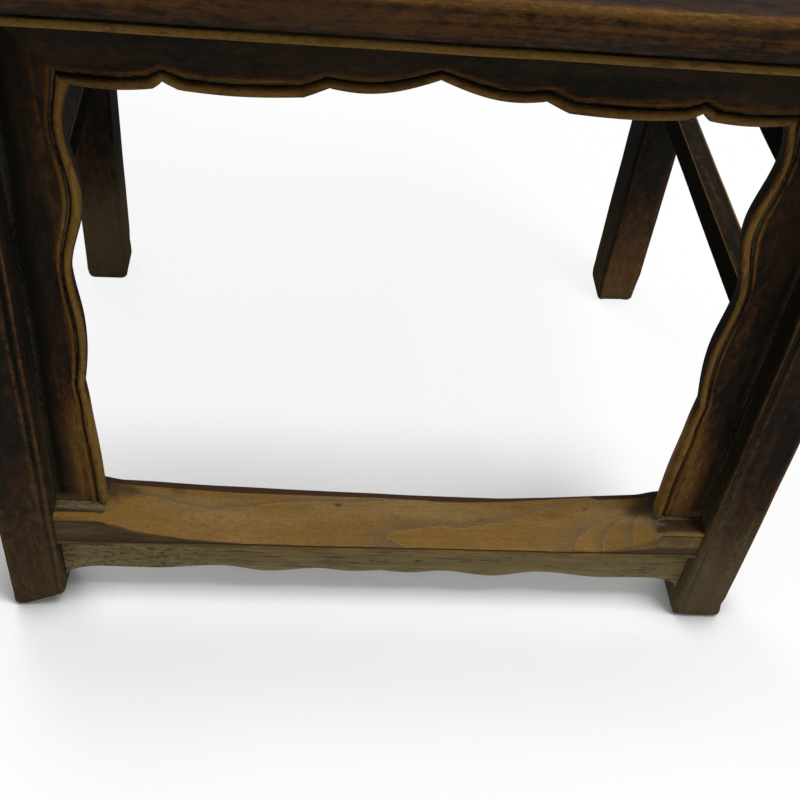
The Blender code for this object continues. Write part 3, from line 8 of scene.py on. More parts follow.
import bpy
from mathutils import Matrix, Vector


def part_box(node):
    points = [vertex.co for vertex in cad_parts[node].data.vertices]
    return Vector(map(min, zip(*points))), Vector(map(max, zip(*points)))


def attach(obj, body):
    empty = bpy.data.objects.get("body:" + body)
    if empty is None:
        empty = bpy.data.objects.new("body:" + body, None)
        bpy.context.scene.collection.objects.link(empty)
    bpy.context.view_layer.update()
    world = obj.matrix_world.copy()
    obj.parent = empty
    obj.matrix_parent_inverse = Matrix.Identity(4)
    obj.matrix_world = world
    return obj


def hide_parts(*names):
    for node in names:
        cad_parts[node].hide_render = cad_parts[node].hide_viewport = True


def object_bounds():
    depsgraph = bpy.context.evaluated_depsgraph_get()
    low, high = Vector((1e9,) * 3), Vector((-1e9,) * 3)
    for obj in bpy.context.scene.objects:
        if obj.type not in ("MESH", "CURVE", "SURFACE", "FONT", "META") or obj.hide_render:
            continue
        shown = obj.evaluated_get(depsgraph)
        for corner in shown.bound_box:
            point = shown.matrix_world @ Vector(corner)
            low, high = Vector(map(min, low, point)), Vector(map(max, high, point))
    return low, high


bl_info = {
    "name": "Yoke-back armchair",
    "version": (1, 0, 0),
    "blender": (4, 5, 0),
    "location": "View3D > Sidebar > Armchair",
    "description": "Shapes and finishes the timbers of a yoke-back armchair round its packed model",
    "category": "Add Mesh",
}

import math

import bmesh
import bpy
from bpy.props import FloatProperty, FloatVectorProperty, PointerProperty
from mathutils import Matrix, Vector, noise

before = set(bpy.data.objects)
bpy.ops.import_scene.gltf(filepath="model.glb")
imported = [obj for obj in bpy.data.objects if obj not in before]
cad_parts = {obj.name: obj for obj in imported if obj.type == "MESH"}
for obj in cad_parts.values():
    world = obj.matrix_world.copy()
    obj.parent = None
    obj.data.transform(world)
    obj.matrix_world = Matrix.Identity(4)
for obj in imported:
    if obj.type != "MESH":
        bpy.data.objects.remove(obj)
CAD_LOW, CAD_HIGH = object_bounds()

# The sway of the hand-planed faces comes out the same at every run
noise.seed_set(1)

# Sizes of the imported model
FRONT_FACE_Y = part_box("front_post_right")[0].y
FRONT_WIDTH = 0.580
BACK_WIDTH = 0.5866
LEG_SPAN = 0.4568
FRONT_LEAN_SHARE = 0.008
FRONT_LEG = (0.0407, 0.044)
BACK_LEG = (0.0403, 0.0454)
CORNER_BEAD = 0.0044
CORNER_GROOVE = 0.0028
SEAT_HEIGHT = 0.534
SEAT_THICKNESS = 0.034
SEAT_WIDTH = 0.604
SEAT_OVERHANG = 0.012
RAIL_WIDTH = 0.066
RAIL_UNDERCUT = 0.0085
RAIL_BEAD = 0.005
RAIL_BEAD_STEP = 0.0015
RAIL_EDGE = 0.011
PANEL_SETBACK = 0.0008
PANEL_REVEAL = 0.0006
PANEL_DEPTH = 0.0133
BATTEN_SPACING = 0.260
BATTEN_WIDTH = 0.022
BATTEN_HEIGHT = 0.017
FRONT_POST_RADIUS = 0.015
FRONT_POST_TOP_RADIUS = 0.0125
NECK_BACK_SWEEP = 0.020
NECK_SET_BACK = 0.062
BACK_POST_RADIUS = 0.0165
BACK_POST_TOP_RADIUS = 0.0145
BACK_POST_RAKE = 0.078
BACK_POST_FORWARD = 0.006
BACK_POST_LEAN_IN = 0.012
CREST_HEIGHT = 1.104
CREST_LENGTH = 0.640
CREST_BOW = 0.026
CREST_CROWN = 0.016
CREST_END_RISE = 0.020
CREST_END_SWEEP = 0.014
CREST_CENTRE = (0.027, 0.046)
CREST_POST_DIAMETER = 0.0345
CREST_END_DIAMETER = 0.028
CREST_END_ROUND = 0.006
SPLAT_WIDTH_BOTTOM = 0.166
SPLAT_WIDTH_TOP = 0.148
SPLAT_THICKNESS = 0.0115
SPLAT_LUMBAR = 0.012
SPLAT_IN_SEAT = 0.006
SPLAT_STRAIGHT = 0.008
SPLAT_IN_CREST = 0.007
ARM_HEIGHT = 0.742
ARM_RADIUS = 0.0155
ARM_REAR_RADIUS = 0.0135
ARM_OUT = 0.030
ARM_DROP = 0.012
ARM_FRONT_OVERHANG = 0.024
ARM_END_ROUND = 0.005
SIDE_POST_RADIUS = 0.0115
SIDE_POST_TOP_RADIUS = 0.0085
SIDE_POST_BULGE = 0.012
BRACKET_LENGTH = 0.050
BRACKET_HEIGHT = 0.062
BRACKET_THICKNESS = 0.009
BOARD_SETBACK = 0.0182
BOARD_THICKNESS = 0.0137
OPENING_HALF_WIDTH = 0.216
SPANDREL_LOBE = 0.014
MITRE_HALF_WIDTH = 0.203
MITRE_HEIGHT = 0.458
APRON_RISE = 0.016
APRON_DIP = 0.003
EDGE_BEAD = 0.0075
EDGE_BEAD_REACH = 0.0025
EDGE_BEAD_ROUND = 0.0042
EDGE_GROOVE = 0.002
EDGE_GROOVE_DEPTH = 0.0036
EDGE_RIDGE = 0.0014
EDGE_RIDGE_DEPTH = 0.0014
FIELD_DEPTH = 0.0022
SIDE_APRON_HEIGHT = 0.036
SIDE_BRACKET_HEIGHT = 0.072
SIDE_BRACKET_LENGTH = 0.060
SIDE_APRON_THICKNESS = 0.012
FOOTREST_TOP = 0.1068
FOOTREST_BOTTOM = 0.0769
FOOTREST_SETBACK = 0.0029
FOOTREST_DEPTH = 0.0445
FOOTREST_LIP = 0.0036
FOOTREST_LIP_REACH = 0.0012
FOOTREST_BACK_WEAR = 0.0148
FOOTREST_FRONT_WEAR = 0.0245
FOOT_BOARD_SETBACK = 0.0116
FOOT_BOARD_THICKNESS = 0.014
FOOT_BOARD_EDGE = 0.0390
FOOT_BOARD_WAVE = 0.0032
FOOT_BOARD_TOE = 0.0251
FOOT_BOARD_TOE_LENGTH = 0.030
STRETCHER = (0.0198, 0.0246)
SIDE_LOWER_BOTTOM = 0.2383
SIDE_UPPER_BOTTOM = 0.3600
BACK_STRETCHER_BOTTOM = 0.2900
GAP = 0.0003

# Lobes and waves: (share of the way along, height of the lobe, whether the line has a point there)
SPANDREL_LOBE_SHARES = (
    (0.000, 0.23, False), (0.120, 0.26, False), (0.346, 0.03, True), (0.486, 0.46, False),
    (0.623, 0.18, False), (0.786, 0.99, False), (0.920, 0.52, False), (1.000, 0.93, True),
)
APRON_LOBE_SHARES = (
    (0.000, 0.00, True), (0.120, -0.60, False), (0.255, 0.30, True), (0.460, -0.55, False),
    (0.700, 0.42, True), (0.790, 0.30, False), (1.000, 1.00, True),
)
FOOT_BOARD_WAVE_SHARES = (
    (0.00, 0.25, True), (0.11, -0.45, False), (0.23, 0.50, False), (0.41, -1.00, False),
    (0.59, 0.95, False), (0.83, -0.60, False), (1.00, -0.50, False),
)

# The footrest's wear: (place across it, share of the wear, of its depth, or of its slope)
FOOTREST_BACK_WEAR_SHARES = (
    (-1.00, 0.00), (-0.87, 0.00), (-0.84, 0.28), (-0.55, 0.55), (-0.24, 0.75), (0.08, 0.92),
    (0.38, 1.00), (0.54, 0.80), (0.83, 0.34), (0.87, 0.00), (1.00, 0.00),
)
FOOTREST_FRONT_WEAR_SHARES = (
    (-1.00, 0.00), (-0.87, 0.00), (-0.76, 0.46), (-0.63, 0.78), (-0.47, 0.97), (0.00, 1.00),
    (0.38, 1.00), (0.70, 0.94), (0.80, 0.55), (0.87, 0.00), (1.00, 0.00),
)
TREAD_KEPT_MARKS = (
    (-0.250, 0.93), (-0.190, 0.894), (-0.144, 0.902), (-0.113, 0.891), (-0.067, 0.909),
    (-0.003, 0.923), (0.034, 0.918), (0.039, 0.900), (0.066, 0.904), (0.074, 0.919),
    (0.110, 0.950), (0.142, 0.975), (0.165, 0.985), (0.172, 0.930), (0.205, 0.930), (0.250, 0.90),
)
TREAD_RIDGE_MARKS = (
    (-0.250, 0.70), (-0.205, 0.717), (-0.189, 0.713), (-0.174, 0.673), (-0.151, 0.579),
    (-0.132, 0.560), (-0.113, 0.624), (-0.090, 0.719), (-0.066, 0.780), (-0.035, 0.795),
    (-0.003, 0.847), (0.029, 0.899), (0.080, 1.02), (0.250, 1.10),
)
TREAD_FLAME_MARKS = (
    (0.0018, 0.197), (0.0082, 0.293), (0.0279, 0.363), (0.0438, 0.412), (0.0597, 0.385),
    (0.0757, 0.434), (0.1001, 0.544), (0.1206, 0.694), (0.1411, 0.800), (0.1738, 0.910),
    (0.2500, 0.990),
)
# Dark spots on the tread: place across, share of its slope, radius and strength
TREAD_SPOTS = (
    (-0.2000, 0.76, 0.0110, 0.75), (-0.1600, 0.86, 0.0060, 0.45), (-0.0366, 0.756, 0.0032, 0.85),
    (0.0770, 0.56, 0.0028, 0.40), (0.1611, 0.77, 0.0030, 0.60), (0.2020, 0.66, 0.0110, 0.75),
)

# Knots of the bent timbers: share of the rise or length, then shares of each sweep
NECK_KNOT_SHARES = ((0.30, 0.08, 0.62), (0.66, 0.50, 0.90))
BACK_POST_KNOT_SHARES = ((0.22, 0.08), (0.50, 0.16), (0.78, 0.58))
ARM_KNOT_SHARES = (
    (0.24, 0.62, 0.35, 0.94), (0.52, 0.86, 0.05, 1.00), (0.78, 0.72, 0.00, 1.00),
    (0.90, 0.80, 0.10, 0.98), (1.00, 1.30, 0.00, 0.94),
)
SPLAT_KNOT_SHARES = ((0.28, -0.75, 0.02), (0.55, -0.20, 0.22), (0.80, 0.15, 0.66))
SIDE_POST_KNOT_SHARES = ((0.35, 0.75), (0.70, 0.80))
BRACKET_EDGE_SHARES = (
    (1.00, 0.00), (0.96, 0.16), (0.72, 0.24), (0.50, 0.30), (0.40, 0.46), (0.27, 0.54),
    (0.20, 0.78), (0.16, 1.00),
)
CREST_PILLOW_SHARE = 0.26
CREST_SHOULDER_SHARE = 0.66
SIDE_POST_SHARE = 0.44

# Places worked out from those sizes
SEAT_UNDERSIDE = SEAT_HEIGHT - SEAT_THICKNESS
BOARD_TOP = SEAT_UNDERSIDE - GAP
FRONT_POST_Y = FRONT_LEG[1] / 2
BACK_LEG_FRONT = LEG_SPAN - BACK_LEG[1]
BACK_POST_Y = LEG_SPAN - BACK_LEG[1] / 2
BACK_POST_X = (BACK_WIDTH - BACK_LEG[0]) / 2
BACK_OPENING_HALF = BACK_WIDTH / 2 - BACK_LEG[0] - GAP
SEAT_FRONT_Y = -SEAT_OVERHANG
SEAT_BACK_Y = LEG_SPAN + SEAT_OVERHANG
SEAT_SIDE_X = SEAT_WIDTH / 2
CREST_POST_X = BACK_POST_X - BACK_POST_LEAN_IN
CREST_POST_Y = BACK_POST_Y + BACK_POST_RAKE
CREST_POST_SHARE = 2 * CREST_POST_X / CREST_LENGTH

# Steps round the bead of a lobed board, and the place of its groove in the section
EDGE_BEAD_STEPS = 10
EDGE_GROOVE_START = EDGE_BEAD_STEPS + 3

# Fineness of the shaped pieces, and the chip off the left foot
RING_STEP = 0.006
ROUND_SIDES = 28
ARC_STEPS = 4
CURVE_STEPS = 14
CHIP_HEIGHT = 0.0115
CHIP_REACH = 0.020

X_AXIS = Vector((1, 0, 0))
Y_AXIS = Vector((0, 1, 0))
Z_AXIS = Vector((0, 0, 1))
# Which axes run across, over and along the grain
UPRIGHT = (0, 1, 2)
CROSSWISE = (1, 2, 0)
FORE_AND_AFT = (2, 0, 1)

# Wear, grime with painted shade, and dust, each from 0 to 1
PLAIN = (0.0, 0.0, 0.0)
FACE = (0.14, 0.0, 0.0)

BLACK = (0, 0, 0, 1)
WHITE = (1, 1, 1, 1)

# The studio floor: its contact shadows, painted into its colour by ambient occlusion, and where it
# is its own white in the camera's view
CONTACT_REACH = 0.045
CONTACT_SHADE = (0.3, 0.9, 0.3)
FLOOR_DARKEST_Y = FRONT_FACE_Y + 0.02
FLOOR_CLEARING = (0.04, 0.22, 0.08)
FLOOR_BEFORE = (-0.10, -0.32)
FLOOR_FAR_OFF = (0.7, 2.2)

# The studio's lamps (name, place, target, size, power) and the photograph's camera
LAMPS = (
    ("front_softbox", (1.1, -0.85, 3.1), (0, -0.1, 0.1), 1.1, 88),
    ("back_softbox", (-1.2, 2.2, 2.0), (0, 0.2, 0.5), 1.6, 30),
)
CAMERA_PLACE = (-0.07469, -0.80796, 0.78431)
CAMERA_LENS = 51.5895
CAMERA_SENSOR = 36
CAMERA_TURNS = ((-0.041720208, "Z"), (-0.090264337, "Y"), (0.792512523, "X"))


# Timber


class Timber:
    """One piece while it is shaped: rings of points, each with its wear, grime with painted shade,
    and dust.
    """

    def __init__(self, name, run):
        self.name = name
        self.run = run
        self.points, self.faces, self.marks, self.grain = [], [], [], []

    def skin(self, rings, bent):
        """One closed body through the rings. A bent one has its grain follow the middle line."""
        first = len(self.points)
        count = len(rings[0])
        travelled = 0.0
        before = None
        for ring in rings:
            middle = sum((point for point, _ in ring), Vector()) / count
            travelled += (middle - before).length if before else 0.0
            before = middle
            for point, mark in ring:
                offset = point - middle if bent else point
                across, over, along = (offset[axis] for axis in self.run)
                self.points.append(point.copy())
                self.marks.append(mark)
                self.grain.append((across, over, travelled if bent else along))
        last = len(self.points) - count
        for low in range(first, last, count):
            for column in range(count):
                after = (column + 1) % count
                high = low + count
                self.faces.append((low + column, low + after, high + after, high + column))
        self.faces.append(tuple(reversed(range(first, first + count))))
        self.faces.append(tuple(range(last, last + count)))

    def make(self, context, node, finish, figure):
        """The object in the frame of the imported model, in place of the node it stands for."""
        look = context.scene.armchair_shape
        seed = sum(ord(letter) for letter in self.name)
        shift = Vector((seed % 7, seed % 11, seed % 13)) * 0.37
        mesh = bpy.data.meshes.new(self.name)
        placed = []
        for point in self.points:
            sway = noise.noise_vector((point + shift) * 22) * look.hand_sway
            moved = point + sway + Vector((0, FRONT_FACE_Y, 0))
            placed.append([min(max(moved[i], CAD_LOW[i]), CAD_HIGH[i]) for i in range(3)])
        mesh.from_pydata(placed, [], self.faces)
        layers = dict(zip(("wear", "grime", "dust"), zip(*self.marks)))
        if figure:
            layers["figure"] = [figure(point) for point in self.points]
        for label, values in layers.items():
            mesh.attributes.new(label, "FLOAT", "POINT").data.foreach_set("value", values)
        moved = [c + s for place in self.grain for c, s in zip(place, shift)]
        mesh.attributes.new("grain", "FLOAT_VECTOR", "POINT").data.foreach_set("vector", moved)
        bm = bmesh.new()
        bm.from_mesh(mesh)
        bmesh.ops.recalc_face_normals(bm, faces=bm.faces)
        bm.to_mesh(mesh)
        bm.free()
        mesh.polygons.foreach_set("use_smooth", [True] * len(mesh.polygons))
        mesh.set_sharp_from_angle(angle=math.radians(40))
        piece = bpy.data.objects.new(self.name, mesh)
        context.scene.collection.objects.link(piece)
        slot, material = finish_of(context, finish)
        mesh.materials.append(material)
        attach(piece, "root")
        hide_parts(node)


def shape(context, name, run, bodies, node, finish, bent=False, figure=None):
    """Skins the bodies as one timber, in place of the node."""
    timber = Timber(name, run)
    for rings in bodies:
        timber.skin(rings, bent)
    timber.make(context, node, finish, figure)


def shape_pair(context, name, run, rings, node, finish, bent=False):
    """The same timber on the right and, mirrored, on the left."""
    shape(context, name.format("right"), run, [rings], node.format("right"), finish, bent)
    rings = mirrored(rings)
    shape(context, name.format("left"), run, [rings], node.format("left"), finish, bent)


def mirrored(rings):
    return [[(Vector((-p.x, p.y, p.z)), mark) for p, mark in ring] for ring in rings]


def steps_between(low, high, step=RING_STEP):
    count = max(1, round(abs(high - low) / step))
    return [low + (high - low) * index / count for index in range(count + 1)]


def quarter_turn(steps):
    return [step / steps * math.pi / 2 for step in range(steps + 1)]


def between(a, b, share):
    return a + (b - a) * share


def smooth(share):
    share = min(max(share, 0), 1)
    return share * share * (3 - 2 * share)


# Sections, each a list of ((u, v), mark) going round anticlockwise


def eased_corner(corner, before, after, ease, wear, fade):
    """Points round a worn arris that is reached along `before` and left along `after`."""
    half_worn = (wear * 0.45, 0, 0)
    start = corner - before * ease
    points = [(start - before * fade, PLAIN), (start - before * fade / 3, half_worn)]
    for angle in quarter_turn(ARC_STEPS):
        out = before * math.sin(angle) - after * math.cos(angle)
        points.append((start + after * ease + out * ease, (wear, 0, 0)))
    end = corner + after * ease
    return points + [(end + after * fade / 3, half_worn), (end + after * fade, PLAIN)]


def beaded_corner(corner, before, after, look):
    """Points round a corner bead: a dusty crease on the side before it, a groove after it."""
    radius = look.corner_bead_round
    crease = (
        (BOARD_SETBACK + 0.003, PLAIN),
        (BOARD_SETBACK, (0, 0.4, 0.6)),
        (BOARD_SETBACK - 0.0014, (0, 0.4, 0.6)),
        (BOARD_SETBACK - 0.003, (0, 0.7, 0.3)),
        (CORNER_BEAD + 0.004, (0, 0.7, 0.25)),
        (CORNER_BEAD + 0.001, (0.2, 0.4, 0)),
    )
    points = [(corner - before * away, mark) for away, mark in crease]
    for angle in quarter_turn(2 * ARC_STEPS):
        out = before * math.sin(angle) - after * math.cos(angle)
        turned = 2 * angle / math.pi
        worn = smooth((turned - 0.35) / 0.3) * (1 - 0.6 * smooth((turned - 0.75) / 0.2))
        grime = 0.5 * (1 - smooth(turned / 0.4))
        mark = (look.bead_wear * worn, grime, 0)
        points.append((corner + (after - before) * radius + out * radius, mark))
    groove = (
        (0, 0, 0.45, (0.25, 0.5, 0)),
        (0.25, 0, 0.9, (0, 0.7, 0.55)),
        (0.5, 0, 1.0, (0, 0.7, 0.55)),
        (0.75, 0, 0.85, (0, 0.7, 0.55)),
        (1, 0, 0.15, (0.3, 0.3, 0.45)),
        (1, 0.0007, 0, (0.3, 0, 0.25)),
        (1, 0.004, 0, FACE),
    )
    for share, past, deep, mark in groove:
        away = CORNER_BEAD + CORNER_GROOVE * share + past
        points.append((corner + after * away - before * look.corner_groove_depth * deep, mark))
    return points


def bar_section(width, height, ease, wear, bead=None, fade=0.0045):
    """A rectangular bar with eased arrises, and a beaded corner at (-u, -v) if a look is given."""
    u, v = width / 2, height / 2
    right, up = Vector((1, 0)), Vector((0, 1))
    section = eased_corner(Vector((u, v)), up, -right, ease, wear, fade)
    section += eased_corner(Vector((-u, v)), -right, -up, ease, wear, fade)
    if bead:
        section += beaded_corner(Vector((-u, -v)), -up, right, bead)
    else:
        section += eased_corner(Vector((-u, -v)), -up, right, ease, wear, fade)
    return section + eased_corner(Vector((u, -v)), right, up, ease, wear, fade)


def ring_at(section, origin, across, up, shrink=0.0):
    """The section as a ring in space. `shrink` draws it in towards its middle by that length."""
    wide = 1 - shrink / max(abs(p.x) for p, _ in section)
    high = 1 - shrink / max(abs(p.y) for p, _ in section)
    return [(origin + across * p.x * wide + up * p.y * high, mark) for p, mark in section]


# Lines


def curve(knots, steps):
    """Points on a smooth curve through all the knots but the two end ones, which steer it."""
    route = []
    for a, b, c, d in zip(knots, knots[1:], knots[2:], knots[3:]):
        square = 2 * a - 5 * b + 4 * c - d
        cube = 3 * b - a - 3 * c + d
        for step in range(steps):
            t = step / steps
            route.append((2 * b + (c - a) * t + square * t**2 + cube * t**3) / 2)
    return route + [knots[-2].copy()]


def smooth_route(knots, foot=None):
    """Points on a smooth curve through the knots, after a straight run up from the foot."""
    straight = [between(foot, knots[0], i / 4) for i in range(4)] if foot else []
    ends = [foot or 2 * knots[0] - knots[1]] + knots + [2 * knots[-1] - knots[-2]]
    return straight + curve(ends, CURVE_STEPS)


def bent_route(foot, base, top, shares, bend):
    """From the foot to the base, and through knots at shares of the rise, each moved by `bend`."""
    knots = [base]
    for up, *sweeps in shares:
        knot = base + (top - base) * up
        bend(knot, up, *sweeps)
        knots.append(knot)
    return smooth_route(knots + [top], foot)


def heading(route, index):
    before = route[max(index - 1, 0)].xyz
    return (route[min(index + 1, len(route) - 1)].xyz - before).normalized()


def eased(share, leaves_sharp, arrives_sharp):
    if leaves_sharp and arrives_sharp:
        return share
    if leaves_sharp:
        return math.sin(share * math.pi / 2)
    if arrives_sharp:
        return 1 - math.cos(share * math.pi / 2)
    return (1 - math.cos(share * math.pi)) / 2


def wavy_edge(marks):
    edge = []
    for (start, low, first_sharp), (end, high, last_sharp) in zip(marks, marks[1:]):
        for step in range(CURVE_STEPS):
            part = step / CURVE_STEPS
            lobe = between(low, high, eased(part, first_sharp, last_sharp))
            edge.append((between(start, end, part), lobe))
    return edge + [marks[-1][:2]]


def level_between(marks, place):
    """Value at a place on a line through listed marks."""
    for (start, low), (end, high) in zip(marks, marks[1:]):
        if place <= end:
            return between(low, high, (place - start) / (end - start))
    return marks[-1][1]


def front_leg_x(height):
    return (FRONT_WIDTH - FRONT_LEG[0]) / 2 - FRONT_LEAN_SHARE * height


def front_leg_inner_x(height):
    return front_leg_x(height) - FRONT_LEG[0] / 2


def side_line_x(y, height=SIDE_UPPER_BOTTOM):
    """Where the line from a front leg to the back leg behind it passes."""
    start = front_leg_x(height)
    return start + (BACK_POST_X - start) * (y - FRONT_POST_Y) / (BACK_POST_Y - FRONT_POST_Y)


def under_arm(y, radius):
    """Top of a post of this radius, let into the underside of the arm."""
    top = on_arm(y).copy()
    reach = radius + 3 * GAP
    top.z -= (math.sqrt(max(top.w**2 - reach**2, GAP**2)) - GAP) / 2
    top.w = radius
    return top


def back_post_route():
    foot = Vector((BACK_POST_X, BACK_POST_Y, SEAT_UNDERSIDE, BACK_POST_RADIUS))
    base = Vector((BACK_POST_X, BACK_POST_Y, SEAT_HEIGHT, BACK_POST_RADIUS))
    top = Vector((CREST_POST_X, CREST_POST_Y, CREST_HEIGHT, BACK_POST_TOP_RADIUS))

    def bend(knot, up, back):
        forward = BACK_POST_FORWARD * math.sin(math.pi * up)
        knot.y = BACK_POST_Y + BACK_POST_RAKE * back - forward

    return bent_route(foot, base, top, BACK_POST_KNOT_SHARES, bend)


BACK_POST_ROUTE = back_post_route()
FOOTREST_HALF = front_leg_inner_x(FOOTREST_BOTTOM) - GAP


def arm_route():
    joint = min(BACK_POST_ROUTE, key=lambda point: abs(point.z - ARM_HEIGHT))
    knots = [Vector((joint.x, joint.y, ARM_HEIGHT, ARM_REAR_RADIUS))]
    for along, out, high, wide in ARM_KNOT_SHARES:
        y = joint.y - (joint.y + ARM_FRONT_OVERHANG) * along
        z = ARM_HEIGHT - ARM_DROP * (1 - high)
        knots.append(Vector((joint.x + ARM_OUT * out, y, z, ARM_RADIUS * wide)))
    route = smooth_route(knots)
    end = route[-1]
    forward = (end - route[-2]).xyz.normalized()
    for share in (0.35, 0.7, 0.9, 1):
        angle = share * math.pi / 2
        place = end.xyz + forward * ARM_END_ROUND * math.sin(angle)
        route.append(Vector((*place, end.w - ARM_END_ROUND * (1 - math.cos(angle)))))
    return route


ARM_ROUTE = arm_route()


def on_arm(y):
    for before, after in zip(ARM_ROUTE, ARM_ROUTE[1:]):
        if after.y <= y <= before.y:
            return before.lerp(after, (before.y - y) / (before.y - after.y))
    return ARM_ROUTE[0]


def neck_route():
    foot = Vector((front_leg_x(BOARD_TOP), FRONT_POST_Y, SEAT_UNDERSIDE, FRONT_POST_RADIUS))
    base = Vector((foot.x, FRONT_POST_Y, SEAT_HEIGHT, FRONT_POST_RADIUS))
    top = under_arm(NECK_SET_BACK - ARM_FRONT_OVERHANG, FRONT_POST_TOP_RADIUS)
    rise = top - base

    def bend(knot, up, out, back):
        knot.x = base.x + rise.x * out
        knot.y = base.y + rise.y * out + NECK_BACK_SWEEP * back

    return bent_route(foot, base, top, NECK_KNOT_SHARES, bend)


NECK_ROUTE = neck_route()


def side_post_route():
    y = between(SEAT_FRONT_Y, SEAT_BACK_Y, SIDE_POST_SHARE)
    x = side_line_x(y)
    foot = Vector((x, y, SEAT_HEIGHT + GAP, SIDE_POST_RADIUS))
    base = Vector((x, y, SEAT_HEIGHT + SIDE_POST_RADIUS, SIDE_POST_RADIUS))

    def bend(knot, up, out):
        knot.x += SIDE_POST_BULGE * out

    top = under_arm(y, SIDE_POST_TOP_RADIUS)
    return bent_route(foot, base, top, SIDE_POST_KNOT_SHARES, bend)


def round_rings(route, wear, upright_below=0.0):
    """Rings of a round bar along a route of x, y, z and radius."""
    rings = []
    for index, point in enumerate(route):
        direction = Z_AXIS if point.z <= upright_below else heading(route, index)
        side = X_AXIS if abs(direction.z) > 0.5 else Z_AXIS
        across = (side - direction * side.dot(direction)).normalized()
        over = direction.cross(across)
        ring = []
        for turn in range(ROUND_SIDES):
            angle = 2 * math.pi * turn / ROUND_SIDES
            out = across * math.cos(angle) + over * math.sin(angle)
            ring.append((point.xyz + out * point.w, (wear, 0, 0)))
        rings.append(ring)
    return rings


# Finishes


class Flow:
    """A value that runs from one shader node to the next, so a finish can be written as sums."""

    def __init__(self, nodes, socket):
        self.nodes = nodes
        self.socket = socket

    def __add__(self, other):
        return self.nodes.calc("ADD", self, other)

    def __sub__(self, other):
        return self.nodes.calc("SUBTRACT", self, other)

    def __mul__(self, other):
        return self.nodes.calc("MULTIPLY", self, other)

    def __abs__(self):
        return self.nodes.calc("ABSOLUTE", self, 0)

    def most(self, *others):
        """The greatest of this value and the others."""
        greatest = self
        for other in others:
            greatest = self.nodes.calc("MAXIMUM", greatest, other)
        return greatest

    def spread(self, low, high, to_low=0.0, to_high=1.0):
        """A smooth step from one level to another as the value goes from low to high."""
        feeds = {"Value": self, "From Min": low, "From Max": high}
        feeds |= {"To Min": to_low, "To Max": to_high}
        kind = "ShaderNodeMapRange"
        return self.nodes.node(kind, "Result", feeds, interpolation_type="SMOOTHSTEP")


class Nodes:
    """The shader nodes of a material or world, added one by one."""

    def __init__(self, owner, colours):
        owner.use_nodes = True
        self.tree = owner.node_tree
        self.colours = colours

    def feed(self, socket, value):
        if isinstance(value, Flow):
            self.tree.links.new(value.socket, socket)
        elif isinstance(value, str):
            socket.default_value = (*getattr(self.colours, value), 1.0)
        else:
            socket.default_value = value

    def node(self, kind, output, feeds=None, **settings):
        """Adds a node, feeds its inputs, and returns what flows from one of its outputs."""
        node = self.tree.nodes.new(kind)
        for setting, value in settings.items():
            setattr(node, setting, value)
        for socket, value in (feeds or {}).items():
            self.feed(node.inputs[socket], value)
        return Flow(self, node.outputs[output])

    def calc(self, operation, a, b, clamp=False):
        feeds = {0: a, 1: b}
        return self.node("ShaderNodeMath", 0, feeds, operation=operation, use_clamp=clamp)

    def blend(self, share, under, over):
        feeds = {0: share, 6: under, 7: over}
        return self.node("ShaderNodeMix", 2, feeds, data_type="RGBA")

    def layers(self, base, *coats):
        """A colour with coats over it, each given as its share and its colour."""
        for share, coat in coats:
            base = self.blend(share, base, coat)
        return base

    def height(self):
        place = self.node("ShaderNodeTexCoord", "Object")
        return self.node("ShaderNodeSeparateXYZ", "Z", {0: place})

    def seen_by(self, *rays):
        """One where any of these kinds of ray looks, nought for all others."""
        path = self.tree.nodes.new("ShaderNodeLightPath")
        first, *others = (Flow(self, path.outputs[f"Is {ray} Ray"]) for ray in rays)
        return first.most(*others)

    def mark(self, label):
        return self.node("ShaderNodeAttribute", "Fac", attribute_name=label)

    def clouds(self, across, along, shift, detail, roughness, distortion=0.0):
        """Noise with so many features to the metre across and along the grain."""
        feeds = {"Vector": self.node("ShaderNodeAttribute", "Vector", attribute_name="grain")}
        feeds |= {"Scale": (across, across, along), "Location": (shift, shift * 2, shift * 3)}
        feeds = {"Vector": self.node("ShaderNodeMapping", "Vector", feeds), "Scale": 1.0}
        feeds |= {"Detail": detail, "Roughness": roughness, "Distortion": distortion}
        return self.node("ShaderNodeTexNoise", "Fac", feeds)


class Finish(Nodes):
    """The nodes of one material round its shader."""

    def __init__(self, name, colours):
        self.material = bpy.data.materials.new(name)
        super().__init__(self.material, colours)
        self.shader = self.tree.nodes["Principled BSDF"]

    def shaded(self, feeds):
        for socket, value in feeds.items():
            self.feed(self.shader.inputs[socket], value)
        return Flow(self, self.shader.outputs[0])

    def finished(self, shown, rough, gloss, relief, depth):
        bumps = {"Height": relief, "Distance": depth, "Strength": self.colours.relief}
        feeds = {"Base Color": shown, "Roughness": self.calc("ADD", rough, 0, clamp=True)}
        feeds |= {"Specular IOR Level": gloss, "Normal": self.node("ShaderNodeBump", 0, bumps)}
        self.shaded(feeds)
        return self.material


